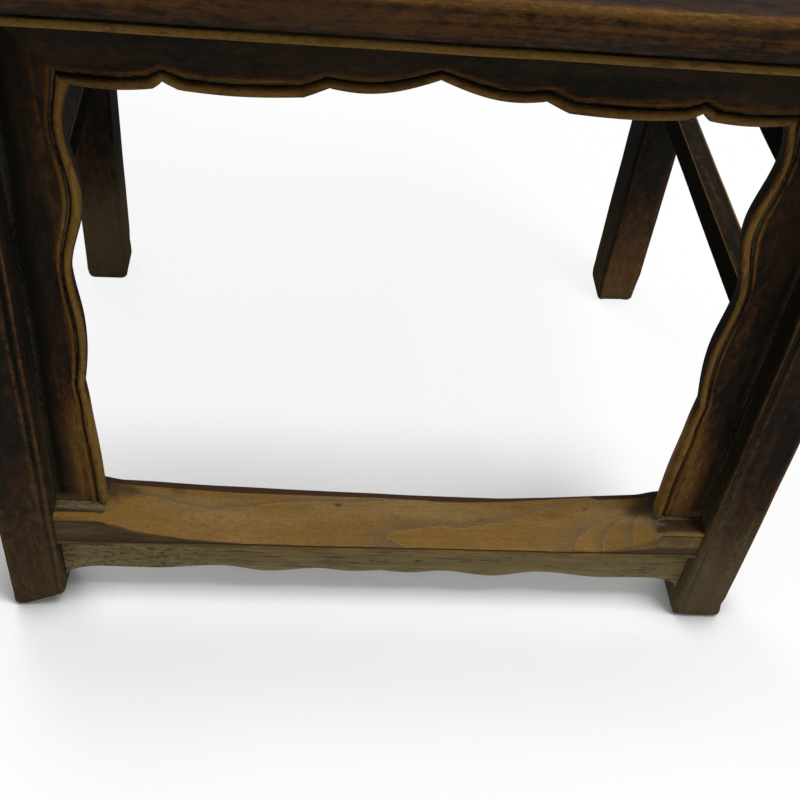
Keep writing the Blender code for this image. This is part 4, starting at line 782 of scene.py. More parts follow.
def aged_lacquer(name, look, foot_wear, rub, film, matt, thick):
    """Old lacquer, mottled and thin near the floor, rubbed to amber and gold on the arrises."""
    finish = Finish(name, look)
    fibre = finish.clouds(1300, 26, 0, 3, 0.6)
    streak = finish.clouds(230, 7, 3.1, 3, 0.55)
    mottle = finish.clouds(190, 95, 7.7, 4, 0.6, 0.4)
    fleck = finish.clouds(620, 260, 5.3, 3, 0.65)
    broad = finish.clouds(34, 11, 1.9, 3, 0.55)
    wear = finish.mark("wear")
    height = finish.height()
    low = height.spread(0.02, 0.27, foot_wear, 0.0)
    thin = mottle * 2.0 + broad * 1.6 + streak + wear * 1.6 + low - (1.90 + thick)
    rubbed = wear * rub + mottle * 0.55 + streak * 0.75 + fleck * 0.5 - 0.90
    bare = finish.layers(
        "wood_gold",
        (streak.spread(0.35, 0.65), "wood_tan"),
        (fibre.spread(0.45, 0.75, 0.0, 0.5), "wood_amber"),
        (mottle.spread(0.50, 0.66, 0.0, 0.7), "wood_amber"),
    )
    # quirk: the grime with its painted shade, broken up by the mottle
    quirk = finish.mark("grime") * mottle.spread(0.1, 0.45, 0.75, 1.0)
    settled = finish.mark("dust") * (fleck + broad).spread(0.80, 1.12)
    filmed = (height + (broad + streak) * 0.16 - 0.16).spread(0.0, 0.17, film, 0.0)
    filmed = filmed * mottle.spread(0.36, 0.6, 0.5, 1.0)
    scuffed = finish.layers(
        "foot_dust",
        (fleck.spread(0.42, 0.62, 0.0, 0.7), "lacquer_red"),
        (mottle.spread(0.54, 0.72, 0.0, 0.5), "dust"),
        (streak.spread(0.50, 0.68, 0.0, 0.5), "lacquer_red"),
        (max(0.0, 0.75 * (film - 1.0)), "dust"),
    )
    shown = finish.layers(
        "lacquer_black",
        (thin.spread(0.15, 0.75), "lacquer_red"),
        (thin.spread(0.65, 1.25, 0.0, 0.9), "wood_brown"),
        (fibre.spread(0.48, 0.75, 0.0, 0.45), "lacquer_black"),
        (rubbed.spread(0.22, 0.48), "wood_amber"),
        (rubbed.spread(0.42, 0.72), bare),
        (quirk, "grime"),
        (settled, "dust"),
        (filmed, scuffed),
    )
    rough = fleck * 0.3 + settled * 0.3 + filmed * 0.25 + matt
    gloss = filmed.most(quirk, settled) * -look.lacquer_gloss + look.lacquer_gloss
    relief = thin * -0.35 + fibre * 0.4 + settled * 0.5 + fleck * 0.35
    return finish.finished(shown, rough, gloss, relief, 0.0005)


def worn_tread(name, look):
    """The footrest: bare golden timber with a wavy figure, and lacquer left where no foot goes."""
    finish = Finish(name, look)
    fibre = finish.clouds(1100, 22, 0, 3, 0.6)
    streak = finish.clouds(260, 5, 2.2, 3, 0.6)
    pore = finish.clouds(1100, 240, 4.1, 2, 0.5)
    broad = finish.clouds(40, 9, 6.3, 3, 0.5)
    patch = finish.clouds(120, 40, 8.8, 5, 0.6)
    speck = finish.clouds(900, 620, 2.9, 3, 0.7)
    dust = finish.mark("dust")
    figure = finish.mark("figure") + broad * 0.06 + streak * 0.03 - 0.03
    ring = finish.calc("FRACT", figure, 0)
    late = ring.spread(0.45, 0.97, 0.0, 0.6) * patch.spread(0.2, 0.6, 0.6, 1.0)
    held = finish.mark("wear") * -1.4 + patch * 0.8 + broad * 0.4 + 0.4
    coated = held.spread(0.25, 0.6)
    coat = finish.layers(
        "edge_brown",
        (patch.spread(0.4, 0.65), "edge_tan"),
        (held.spread(0.72, 0.98), "edge_red"),
    )
    quirk = finish.mark("grime") * patch.spread(0.2, 0.55, 0.6, 1.0)
    settled = dust * (patch + streak).spread(0.80, 1.10)
    powder = finish.blend(pore.spread(0.44, 0.62, 0.0, 0.7), "dust", "crust")
    shown = finish.layers(
        "tread_gold",
        (streak.spread(0.3, 0.7), "tread_tan"),
        (broad.spread(0.42, 0.68, 0.0, 0.7), "tread_pale"),
        (late, "tread_grey"),
        (patch.spread(0.50, 0.70, 0.0, 0.3), "tread_line"),
        (ring.spread(0.0, 0.055, 0.95, 0.0), "tread_pale"),
        (fibre.spread(0.48, 0.75, 0.0, 0.45), "tread_line"),
        (pore.spread(0.54, 0.70, 0.0, 0.5), "tread_line"),
        (speck.spread(0.42, 0.68, 0.0, 0.36), "tread_line"),
        (speck.spread(0.30, 0.48, 0.22, 0.0), "tread_pale"),
        (coated, coat),
        (quirk, "edge_dark"),
        (dust * 0.45, "edge_dark"),
        (settled, powder),
    )
    rough = patch * 0.25 + settled * 0.3 + 0.36
    relief = coated * 0.5 + fibre * 0.4 + late * -0.25 + settled * 0.5
    return finish.finished(shown, rough, look.wood_gloss, relief, 0.0005)


def dusty_board(name, look):
    """The board under the footrest: greyed bare timber with long cracks and pale crusts."""
    finish = Finish(name, look)
    fibre = finish.clouds(1200, 30, 0, 3, 0.6)
    streak = finish.clouds(300, 7, 2.2, 3, 0.6)
    patch = finish.clouds(130, 45, 8.8, 5, 0.62)
    crust = finish.clouds(360, 150, 5.4, 4, 0.62, 0.5)
    crack = finish.clouds(190, 6.5, 9.1, 2, 0.5, 0.4)
    dust = finish.mark("dust")
    split = abs(crack - 0.5).spread(0.0, 0.016, 1.0, 0.0) * patch.spread(0.36, 0.52)
    rims = abs(crust - 0.52).spread(0.0, 0.030, 1.0, 0.0) * patch.spread(0.40, 0.54)
    settled = dust * crust.spread(0.58, 0.85).most(rims)
    shown = finish.layers(
        "board_olive",
        (streak.spread(0.35, 0.68), "board_tan"),
        (patch.spread(0.48, 0.75, 0.0, 0.6), "board_dark"),
        (fibre.spread(0.5, 0.8, 0.0, 0.4), "board_dark"),
        (finish.mark("wear") * 0.6, "board_pale"),
        (split * 0.8, "edge_dark"),
        # The board's grime is mostly painted shadow under the footrest, along its top
        (finish.mark("grime") * 0.8, "edge_dark"),
        (dust * crust.spread(0.41, 0.49, 0.8, 0.0), "board_dark"),
        (settled, "crust"),
    )
    rough = patch * 0.2 + settled * 0.2 + 0.55
    relief = split * -1.4 + fibre * 0.5 + settled * 0.8 + patch * 0.5
    return finish.finished(shown, rough, look.wood_gloss, relief, 0.0006)


# Each finish: the slot it is for, what makes it, and its foot wear, rub, film, matt and thickness
FINISHES = {
    "dark_lacquer": ("lacquer_dark", aged_lacquer, 0.3, 0.9, 0.3, 0.35, 0.05),
    "brown_lacquer": ("lacquer_brown", aged_lacquer, 0.6, 1.0, 0.85, 0.55, 0.12),
    "shaded_lacquer": ("lacquer_brown", aged_lacquer, 0.9, 1.0, 0.5, 0.55, 0.42),
    "crusted_lacquer": ("lacquer_brown", aged_lacquer, 0.8, 1.0, 1.6, 0.6, 0.28),
    "worn_tread": ("worn_wood", worn_tread),
    "dusty_board": ("dusty_wood", dusty_board),
}
MADE = {}


def finish_of(context, name):
    """The slot and the material of a finish, which is made once."""
    slot, maker, *settings = FINISHES[name]
    if name not in MADE:
        MADE[name] = maker(name, context.scene.armchair_colours, *settings)
    return slot, MADE[name]


# Legs and posts


def leg_heights():
    """Ring heights up a leg: close together at the rounded foot."""
    return [0.0, 0.0008, 0.002, 0.0035, 0.005, 0.008] + steps_between(0.014, BOARD_TOP, 0.012)


def foot_draw_in(height, rounding):
    return rounding * (1 - math.sqrt(1 - max(0.0, 1 - height / rounding) ** 2))


def battered(ring, height, look, seed):
    """Knocks the arrises of a foot in by hand-sized dents."""
    low = max(0.0, 1 - height / look.foot_batter_height)
    if not low:
        return ring
    middle = sum((p for p, _ in ring), Vector()) / len(ring)
    dented = []
    for p, (worn, grime, dust) in ring:
        dent = max(0.0, noise.noise((p + Vector((seed, 0, 0))) * 95) + 0.15)
        inward = (middle - p) * low * dent * worn * look.foot_batter
        dented.append((p + inward, (worn, grime, min(1, dust + low * dent))))
    return dented


def front_leg_rings(look, seed, pale, warm):
    section = bar_section(*FRONT_LEG, look.arris_ease, 0.34, bead=look)
    rings = []
    for height in leg_heights():
        middle_x = front_leg_x(height)
        origin = Vector((middle_x, FRONT_POST_Y, height))
        shrink = foot_draw_in(height, look.foot_rounding)
        dusty = (0.5 + 0.6 * pale) * (1 - 0.9 * smooth((height - 0.12) / 0.16))
        film = pale * smooth(1 - (height - 0.03) / 0.09)
        rubbed = warm * (1 - 0.85 * smooth((height - 0.06) / 0.14))
        ring = []
        for p, (worn, grime, dust) in ring_at(section, origin, X_AXIS, Y_AXIS, shrink):
            beside_bead = p.x < middle_x and CORNER_BEAD < p.y < BOARD_SETBACK - 0.002
            bared = rubbed if beside_bead else 0.0
            dust = max(dust * dusty * (1 - bared), film)
            ring.append((p, (max(worn, 0.42 * bared), grime * (1 - bared), dust)))
        rings.append(battered(ring, height, look, seed))
    return rings


def chipped(rings):
    """Breaks the inner front corner off the foot along a slope."""
    corner = max((p for p, _ in rings[0]), key=lambda p: p.x - p.y).copy()
    for ring in rings:
        for index, (p, (worn, grime, dust)) in enumerate(ring):
            away = corner.x - p.x + 0.35 * (p.y - corner.y)
            lift = CHIP_HEIGHT * (1 - away / CHIP_REACH) + 0.0012 * noise.noise(p * 150)
            if lift > 0 and p.z < 2 * CHIP_HEIGHT:
                lifted = Vector((p.x, p.y, lift + p.z * (1 - lift / (2 * CHIP_HEIGHT))))
                bared = 0.5 * smooth(1 - (lifted.z - lift) / 0.004)
                ring[index] = (lifted, (max(worn, bared), grime, max(dust, bared)))
    return rings


def make_front_legs(context):
    look = context.scene.armchair_shape
    post = round_rings(NECK_ROUTE, 0.35, SEAT_HEIGHT)
    leg = front_leg_rings(look, seed=1.3, pale=0.85, warm=0.0)
    node, finish = "front_post_right", "crusted_lacquer"
    shape(context, "front_leg_right", UPRIGHT, [leg, post], node, finish)
    leg = chipped(mirrored(front_leg_rings(look, seed=4.9, pale=0.12, warm=0.5)))
    node, finish = "front_post_left", "brown_lacquer"
    shape(context, "front_leg_left", UPRIGHT, [leg, mirrored(post)], node, finish)


def back_leg_rings(look, seed, rubbed, pale, shade):
    section = bar_section(*BACK_LEG, look.arris_ease, 0.24)
    inner = BACK_POST_X - BACK_LEG[0] / 2
    rings = []
    for height in leg_heights():
        origin = Vector((BACK_POST_X, BACK_POST_Y, height))
        shrink = foot_draw_in(height, 1.8 * look.foot_rounding)
        low = smooth(1 - (height - 0.035) / 0.11)
        ring = []
        for p, (worn, grime, dust) in ring_at(section, origin, X_AXIS, Y_AXIS, shrink):
            # Painted shade on the inner side face: laid in as grime, it takes off wear and dust, and
            # `pale` lifts it near the floor
            shaded = shade * (1 - pale * low) * smooth((inner + 0.004 - p.x) / 0.003)
            worn = max(worn, rubbed * low) * (1 - 0.7 * shaded)
            ring.append((p, (worn, max(grime, shaded), max(dust, pale * low * (1 - shaded)))))
        rings.append(battered(ring, height, look, seed))
    return rings


def make_back_legs(context):
    look = context.scene.armchair_shape
    post = round_rings(BACK_POST_ROUTE, 0.25, SEAT_HEIGHT)
    # shade: strength of the painted shade on each leg's inner side face
    leg = back_leg_rings(look, seed=2.7, rubbed=0.54, pale=0.04, shade=0.9)
    node, finish = "back_post_right", "shaded_lacquer"
    shape(context, "back_leg_right", UPRIGHT, [leg, post], node, finish)
    leg = mirrored(back_leg_rings(look, seed=7.1, rubbed=0.3, pale=0.72, shade=0.8))
    node, finish = "back_post_left", "crusted_lacquer"
    shape(context, "back_leg_left", UPRIGHT, [leg, mirrored(post)], node, finish)


# Stretchers


def stretcher_section(look):
    """A bar rubbed along its outer arrises, with a dusky top, and its sides and underside blackened
    with grime as painted shade.
    """
    ease = look.stretcher_ease
    section = []
    for p, (worn, _, _) in bar_section(*STRETCHER, ease, 1.05, fade=0.0010):
        if p.x < 0:
            turned = min(abs(p.x + STRETCHER[0] / 2), abs(p.y - STRETCHER[1] / 2)) / ease
            worn *= smooth((turned - 0.02) / 0.2)
        upper = p.y > STRETCHER[1] / 2 - ease / 3
        # Below the top face, what the arrises' wear leaves is painted shade, laid in as grime
        section.append((p, (max(worn, 0.15), 0, 0) if upper else (worn, max(0, 1 - worn), 0)))
    return section


def make_stretchers(context):
    section = stretcher_section(context.scene.armchair_shape)
    for level, bottom in (("lower", SIDE_LOWER_BOTTOM), ("upper", SIDE_UPPER_BOTTOM)):
        rings = []
        for y in steps_between(FRONT_LEG[1] + GAP, BACK_LEG_FRONT - GAP):
            middle = Vector((side_line_x(y, bottom), y, bottom + STRETCHER[1] / 2))
            rings.append(ring_at(section, middle, X_AXIS, Z_AXIS))
        node = f"side_stretcher_{level}_" + "{}"
        shape_pair(context, node + "_timber", FORE_AND_AFT, rings, node, "shaded_lacquer")
    rings = []
    for x in steps_between(-BACK_OPENING_HALF, BACK_OPENING_HALF):
        middle = Vector((x, BACK_POST_Y, BACK_STRETCHER_BOTTOM + STRETCHER[1] / 2))
        rings.append(ring_at(section, middle, Y_AXIS, Z_AXIS))
    node = "back_stretcher"
    shape(context, "back_stretcher_timber", CROSSWISE, [rings], node, "shaded_lacquer")


# Lobed boards of the front frame


def edge_section(look):
    """Beaded edge of a board: (distance in from the lobed edge, depth from the front, mark)."""
    half = 0.485 * EDGE_BEAD
    middle = half - EDGE_BEAD_REACH
    section = [
        # The board's edge face is darkened: painted shade, laid in as grime
        (0.0, BOARD_THICKNESS, (0.1, 0.9, 0.1)),
        (-0.4 * EDGE_BEAD_REACH, 0.75 * BOARD_THICKNESS, (0, 0.9, 0.1)),
    ]
    for step in range(EDGE_BEAD_STEPS + 1):
        angle = math.pi * step / EDGE_BEAD_STEPS
        # Wear on the bead's crown and grime on its flanks: partly real wear, partly painted shade
        # that models the round
        crown = math.sin(angle) ** 0.7
        mark = (0.1 + 0.85 * crown, 0.5 * (1 - crown), 0)
        deep = EDGE_BEAD_ROUND * (1 - math.sin(angle))
        section.append((middle - half * math.cos(angle), deep, mark))
    groove = (0.85 * EDGE_GROOVE_DEPTH, (0, 0.5, 0.64))
    groove_end = EDGE_BEAD - EDGE_BEAD_REACH + EDGE_GROOVE
    ridge = (EDGE_RIDGE_DEPTH, (look.ridge_wear, 0, 0))
    ridge_end = groove_end + EDGE_RIDGE
    return section + [
        (middle + half + 0.25 * EDGE_GROOVE, *groove),
        (groove_end - 0.45 * EDGE_GROOVE, *groove),
        (groove_end - 0.1 * EDGE_GROOVE, 1.5 * EDGE_RIDGE_DEPTH, (0.5, 0.2, 0)),
        (groove_end + 0.3 * EDGE_RIDGE, *ridge),
        (ridge_end + 0.2 * EDGE_RIDGE, *ridge),
        (ridge_end + 0.8 * EDGE_RIDGE, 1.2 * EDGE_RIDGE_DEPTH, (0.48, 0, 0)),
        (ridge_end + 1.8 * EDGE_RIDGE, FIELD_DEPTH, (0.32, 0, 0)),
    ]


def edge_mark(place, mark, p, narrowing):
    """Wear of the beaded edge: bare all over near the footrest, on the crown alone above."""
    worn, grime, dust = mark
    bare = 1 - smooth((p.z - FOOTREST_TOP - 0.095) / 0.04)
    upper = smooth((p.z - FOOTREST_TOP - 0.10) / 0.08)
    on_bead = place < EDGE_GROOVE_START
    worn **= 1 + (narrowing if on_bead else 0.4 * narrowing) * upper
    if place == EDGE_GROOVE_START:
        return worn, grime, dust * (1 - 0.5 * bare)
    if place == EDGE_GROOVE_START + 1:
        return max(worn, 0.5 * bare), grime * (1 - 0.8 * bare), dust * (1 - bare)
    return max(worn, (0.85 if on_bead else 0.62) * bare), grime * (1 - bare), dust


def lobed_board(look, points, reaches, lobes, end_normal, field_mark, narrowing):
    """Rings across a beaded board, from points of its lobed edge to points of its far edge."""
    section = edge_section(look)
    last = len(points) - 1
    rings = []
    for index, (edge, far, lobe) in enumerate(zip(points, reaches, lobes)):
        travel = (points[min(index + 2, last)] - points[max(index - 2, 0)]).normalized()
        across = Vector((travel.y, -travel.x))
        to_end = min(index, last - index) / 6
        if to_end < 1:
            straight = (far - edge).normalized()
            slid = straight / abs(straight.dot(end_normal))
            across = slid.lerp(across, to_end)
        lobe = min(1, max(0, lobe))
        fuller = between(look.hollow_bead, 1, lobe)
        ring = []
        for place, (away, deep, mark) in enumerate(section):
            p = edge + across * ((away + EDGE_BEAD_REACH) * fuller - EDGE_BEAD_REACH)
            p = Vector((p.x, BOARD_SETBACK + deep, p.y))
            worn, grime, dust = edge_mark(place, mark, p, narrowing)
            worn *= 0.78 + 0.18 * lobe + 0.35 * noise.noise(p * 28)
            worn *= 1 - 0.16 * smooth((p.z - 0.33) / 0.1)
            ring.append((p, (worn, grime, dust)))
        inner = ring[-1][0].xz
        for share in (0.12, 0.25, 0.4, 0.55, 0.7, 0.82, 0.92, 1.0):
            p = inner.lerp(far, share)
            mark = field_mark(p, share)
            ring.append((Vector((p.x, BOARD_SETBACK + FIELD_DEPTH, p.y)), mark))
        ring.append((Vector((far.x, BOARD_SETBACK + BOARD_THICKNESS, far.y)), PLAIN))
        rings.append(ring)
    return rings


def spandrel_rings(look, slighter, gilt, reach, shadow, narrowing):
    low = FOOTREST_TOP + GAP
    points, reaches, lobes = [], [], []
    for along, lobe in wavy_edge(SPANDREL_LOBE_SHARES):
        x = MITRE_HALF_WIDTH if along == 1 else OPENING_HALF_WIDTH - SPANDREL_LOBE * lobe
        x += slighter * math.sin(math.pi * along)
        points.append(Vector((x, between(low, MITRE_HEIGHT, along))))
        far_z = between(low, BOARD_TOP, along)
        reaches.append(Vector((front_leg_inner_x(far_z) - GAP, far_z)))
        lobes.append(lobe + smooth((0.3 - along) / 0.08))

    def field_mark(p, share):
        rise = p.y - low
        crust = smooth(1 - (rise - 0.002) / 0.008)
        corner = smooth((share - 0.86) / 0.1)
        golden = gilt * smooth(1 - (rise - 0.04) / 0.1) * smooth((reach - share) / 0.4)
        # Painted shade towards the leg and up the field, scaled by `shadow` and laid in as grime,
        # with grime in the corner as well
        shaded = smooth((share - 0.45) / 0.3) + 0.3 * smooth((rise - 0.10) / 0.1)
        grime = min(1.0, shadow * shaded + 0.4 * corner) * (1 - crust)
        return 0.22 * (1 - share) + golden, grime, min(1.0, 0.75 * crust + 0.3 * corner)

    return lobed_board(look, points, reaches, lobes, Vector((1, 0)), field_mark, narrowing)


def make_spandrels(context):
    look = context.scene.armchair_shape
    # shadow: strength of the painted shade in each board's field
    right = spandrel_rings(look, 0, gilt=0.47, reach=0.85, shadow=0.25, narrowing=1.9)
    slighter = look.left_slighter
    left = spandrel_rings(look, slighter, gilt=0.43, reach=0.55, shadow=0.95, narrowing=0.6)
    for side, rings in (("right", right), ("left", mirrored(left))):
        node = f"front_spandrel_{side}"
        shape(context, f"spandrel_{side}", UPRIGHT, [rings], node, "brown_lacquer")


def make_front_apron(context):
    far_half = front_leg_inner_x(BOARD_TOP) - GAP
    points, reaches, lobes = [], [], []
    for along, lobe in wavy_edge(APRON_LOBE_SHARES):
        rise = (APRON_RISE if lobe > 0 else APRON_DIP) * lobe
        points.append(Vector((MITRE_HALF_WIDTH * (1 - along), MITRE_HEIGHT + rise)))
        reaches.append(Vector((far_half * (1 - along), BOARD_TOP)))
        lobes.append(1 - lobe)
    for half in (points, reaches):
        half += [Vector((-p.x, p.y)) for p in half[-2::-1]]
    lobes += lobes[-2::-1]

    def field_mark(p, share):
        return 0.08, 0.25 + 0.5 * smooth((share - 0.6) / 0.3), 0.05

    look = context.scene.armchair_shape
    rings = lobed_board(look, points, reaches, lobes, Vector((0, 1)), field_mark, 0.8)
    shape(context, "front_apron_timber", CROSSWISE, [rings], "front_apron", "dark_lacquer")


# Footrest and the board under it


def tread_levels(x):
    """Heights of the front and back arrises of the worn footrest."""
    place = x / FOOTREST_HALF
    front = FOOTREST_FRONT_WEAR * level_between(FOOTREST_FRONT_WEAR_SHARES, place)
    back = FOOTREST_BACK_WEAR * level_between(FOOTREST_BACK_WEAR_SHARES, place)
    return FOOTREST_TOP - front, FOOTREST_TOP - back


def smoothed_levels(x):
    """The same heights with the corners of their lines rounded off."""
    near = [tread_levels(x + FOOTREST_HALF * step * 0.012) for step in (-2, -1, 0, 1, 2)]
    front, back = (sum(levels) / 5 for levels in zip(*near))
    ragged = 0.0014 * noise.noise(Vector((x * 85, 3.3, 0.7))) * smooth((abs(x) - 0.09) / 0.03)
    return front + ragged * smooth((FOOTREST_TOP - front - 0.001) / 0.003), back


def tread_mark(x, share):
    """Wear, grime and dust on the footrest's slope, at a share of it from front to back."""
    kept = level_between(TREAD_KEPT_MARKS, x)
    wear = 1 - smooth((share - kept + 0.006) / 0.012)
    past_end = abs(x) - FOOTREST_HALF
    grime = 0.8 * smooth((past_end + 0.052) / 0.012) * smooth((share - 0.35) / 0.3)
    for spot_x, spot_share, radius, strength in TREAD_SPOTS:
        over = (share - spot_share) * FOOTREST_DEPTH / (0.6 * radius)
        far = ((x - spot_x) / radius) ** 2 + over**2
        grime = max(grime, strength * math.exp(-far * far))
    corner = smooth((past_end + 0.044) / 0.012)
    dust = 0.7 * corner * smooth((share - 0.15) / 0.1) * smooth((0.62 - share) / 0.2)
    start = 0.01 if x > 0 else 0.09
    ledge = corner * (0.34 + 0.54 * smooth((share - start) / 0.04))
    wear *= (1 - ledge) * (1 - 0.12 * smooth((x - 0.08) / 0.06))
    return wear, grime * (1 - dust), dust


def tread_ring(x, look):
    front_top, back_top = smoothed_levels(x)
    y = FOOTREST_SETBACK
    back = y + FOOTREST_DEPTH
    low = FOOTREST_BOTTOM
    lip = low + FOOTREST_LIP
    reach = FOOTREST_LIP_REACH
    ease = look.tread_ease
    whole = smooth((front_top - FOOTREST_TOP + 0.004) / 0.003)
    face_low = lip + 0.0008
    face_high = max(front_top - ease, face_low + 0.0002)
    groove = between(between(face_low, face_high, 0.8), FOOTREST_TOP - 0.0037, whole)
    half_groove = 0.0007 * whole
    bared = 0.26 + 0.13 * smooth(x / 0.1)
    dim = 0.2 * (1 - whole)
    ring = [
        (back, low, (0.2, 0.2, 0)),
        (y + 0.004, low, (0.2, 0.3, 0)),
        (y - 0.3 * reach, low + 0.0002, (0.2, 0.5, 0)),
        (y - reach, low + 0.0010, (0.35 - 0.15 * whole, 0, 0)),
        (y - reach, low + 0.0024, (0.44 - 0.15 * whole, 0, 0)),
        (y - 0.4 * reach, lip - 0.0002, (0.3, 0, 0)),
        (y, lip + 0.0001, (0.1, 0.9, 0)),
        (y, face_low, (0.1, 0.5, 0)),
        (y, between(face_low, groove, 0.5), (bared, dim, 0)),
        (y, groove - half_groove, (bared, dim, 0)),
        (y + 0.0008 * whole, groove, (0.1, between(0.3, 0.9, whole), 0)),
        (y, groove + half_groove, (bared + 0.06, dim, 0)),
        (y, face_high, (bared + 0.12, 0, 0)),
        (y + 0.3 * ease, front_top - 0.3 * ease, (0.9 - 0.46 * whole, 0, 0)),
        (y + ease, front_top, (0.95 - 0.55 * whole, 0, 0)),
    ]
    hollow = look.tread_hollow * smooth(1.6 - 1.6 * abs(x) / FOOTREST_HALF)
    kept = min(level_between(TREAD_KEPT_MARKS, x), 0.985)
    shares = [kept * step / 18 for step in range(1, 18)] + [kept - 0.006, kept + 0.006, 0.995]
    for share in shares:
        level = between(front_top, back_top, share) - hollow * math.sin(math.pi * share)
        ring.append((between(y + ease, back - ease, share), level, tread_mark(x, share)))
    ring += [
        (back - 0.3 * ease, back_top - 0.3 * ease, (0.05, 0, 0)),
        (back, back_top - ease, (0.05, 0, 0)),
        (back, back_top - 0.006, (0.2, 0, 0)),
    ]
    return [(Vector((x, place, level)), mark) for place, level, mark in ring]


def tread_figure(point):
    """Growth rings laid open on the slope: each whole number is the edge of a ring."""
    x = point.x
    share = (point.y - FOOTREST_SETBACK) / FOOTREST_DEPTH
    ridge = level_between(TREAD_RIDGE_MARKS, x)
    if share > ridge:
        return max(-0.8, -5.0 * (share - ridge))
    tip, tip_share = TREAD_FLAME_MARKS[0]
    if x < tip:
        down = min(1.0, (ridge - share) / (ridge - tip_share))
        fading = 1 - 0.55 * (1 - math.exp((x - tip) / 0.03))
        return down * fading - 0.3 * max(0.0, tip_share - share)
    upper = level_between(TREAD_FLAME_MARKS, x)
    lower = tip_share - 8.0 * (x - tip) ** 0.9
    if share > upper:
        return (ridge - share) / max(0.05, ridge - upper)
    if share < lower:
        return 1 - 1.5 * (lower - share)
    level = 1.05 + 0.5 * smooth((x - 0.06) / 0.07)
    if share >= 0.6:
        return level
    bow = (0.207 - x) / (0.057 * math.sqrt(1 - (share / 0.61) ** 2))
    return 2 + (1 - bow) / 0.4 if bow < 1 else level + 0.4 * math.exp((1 - bow) / 0.3)


def make_footrest(context):
    look = context.scene.armchair_shape
    rings = [tread_ring(x, look) for x in steps_between(-FOOTREST_HALF, FOOTREST_HALF, 0.0018)]
    finish, figure = "worn_tread", tread_figure
    shape(context, "footrest_tread", CROSSWISE, [rings], "footrest", finish, figure=figure)


def hanging_rings(places, top, thickness, ease, where, wear, crust_at):
    """Rings along a board that hangs from `top`, with a shaped lower edge and eased arrises."""
    rings = []
    for along, low in places:
        crust = crust_at(along)
        shallow = min(0.006, (top - low) / 3)
        edge = low + ease
        ring = [
            (thickness, top, PLAIN),
            # Grime under the top edge is painted shadow cast by the piece above
            (0, top, (0, 0.7, 0.2)),
            (0, top - 0.0025, (0, 0.25, crust * 0.5)),
            (0, between(top, low, 0.35), (0, 0.1, crust)),
            (0, between(top, low, 0.65), (0, 0.1, crust)),
            (0, edge + shallow, (0, 0.1, crust)),
            (0, edge + shallow / 3, (0.4 * wear, 0, crust)),
        ]
        for angle in quarter_turn(ARC_STEPS):
            deep = ease * (1 - math.cos(angle))
            ring.append((deep, edge - ease * math.sin(angle), (wear, 0, crust * 0.6)))
        ring += [
            (thickness - ease, low, (0.6 * wear, 0, 0)),
            (thickness, edge, (0.5 * wear, 0, 0)),
            (thickness, edge + shallow, PLAIN),
        ]
        rings.append([(where(along, deep, z), mark) for deep, z, mark in ring])
    return rings


def both_ways(places):
    """A line from the middle outwards, with its mirror image before it."""
    return [(-x, z) for x, z in reversed(places[1:])] + places


def foot_board_places():
    start = FOOTREST_HALF - FOOT_BOARD_TOE_LENGTH
    places = []
    for along, wave in wavy_edge(FOOT_BOARD_WAVE_SHARES):
        places.append((start * along, FOOT_BOARD_EDGE + FOOT_BOARD_WAVE * wave))
    fall = places[-1][1] - FOOT_BOARD_TOE
    for angle in quarter_turn(12)[1:]:
        x = start + FOOT_BOARD_TOE_LENGTH * math.sin(angle)
        places.append((x, FOOT_BOARD_TOE + fall * math.cos(angle)))
    return both_ways(places)


def make_footrest_apron(context):
    def where(x, deep, z):
        return Vector((x, FOOT_BOARD_SETBACK + deep, z))

    def crust_at(x):
        return 0.06 + 0.92 * smooth((-x - 0.11) / 0.06) + 0.3 * smooth((x - 0.16) / 0.03)

    top = FOOTREST_BOTTOM - GAP
    ease = context.scene.armchair_shape.board_ease
    places = foot_board_places()
    rings = hanging_rings(places, top, FOOT_BOARD_THICKNESS, ease, where, 0.9, crust_at)
    node = "footrest_apron"
    shape(context, "footrest_apron_board", CROSSWISE, [rings], node, "dusty_board")


# Plain aprons


def bracketed_places(half):
    """Lower edge of a plain apron: level, then falling to a small bracket at each end."""
    level = BOARD_TOP - SIDE_APRON_HEIGHT
    fall = (SIDE_BRACKET_HEIGHT - SIDE_APRON_HEIGHT) / 2
    start = half - SIDE_BRACKET_LENGTH
    reach = SIDE_BRACKET_LENGTH / 2
    places = [(x, level) for x in steps_between(0, start, 0.012)]
    turns = [(step / 8, step / 8 * math.pi / 2) for step in range(1, 9)]
    for share, angle in turns:
        places.append((start + reach * share, level - fall * (1 - math.cos(angle))))
    for share, angle in turns:
        places.append((start + reach * (1 + 0.75 * math.sin(angle)), level - fall * (1 + share)))
    return both_ways(places + [(half, BOARD_TOP - SIDE_BRACKET_HEIGHT)])


def make_plain_aprons(context):
    ease = context.scene.armchair_shape.board_ease
    middle_y = (BACK_LEG_FRONT + FRONT_LEG[1]) / 2
    outer = SIDE_APRON_THICKNESS / 2

    def beside(along, deep, z):
        y = middle_y + along
        return Vector((side_line_x(y) + outer - deep, y, z))

    def behind(along, deep, z):
        return Vector((along, BACK_POST_Y + outer - deep, z))

    def board(half, where):
        places = bracketed_places(half)
        thickness = SIDE_APRON_THICKNESS
        return hanging_rings(places, BOARD_TOP, thickness, ease, where, 0.8, lambda along: 0.15)

    rings = board((BACK_LEG_FRONT - FRONT_LEG[1]) / 2 - GAP, beside)
    name, node, finish = "side_apron_{}_board", "side_apron_{}", "dark_lacquer"
    shape_pair(context, name, FORE_AND_AFT, rings, node, finish)
    rings = board(BACK_OPENING_HALF, behind)
    shape(context, "back_apron_board", CROSSWISE, [rings], "back_apron", finish)


# Seat


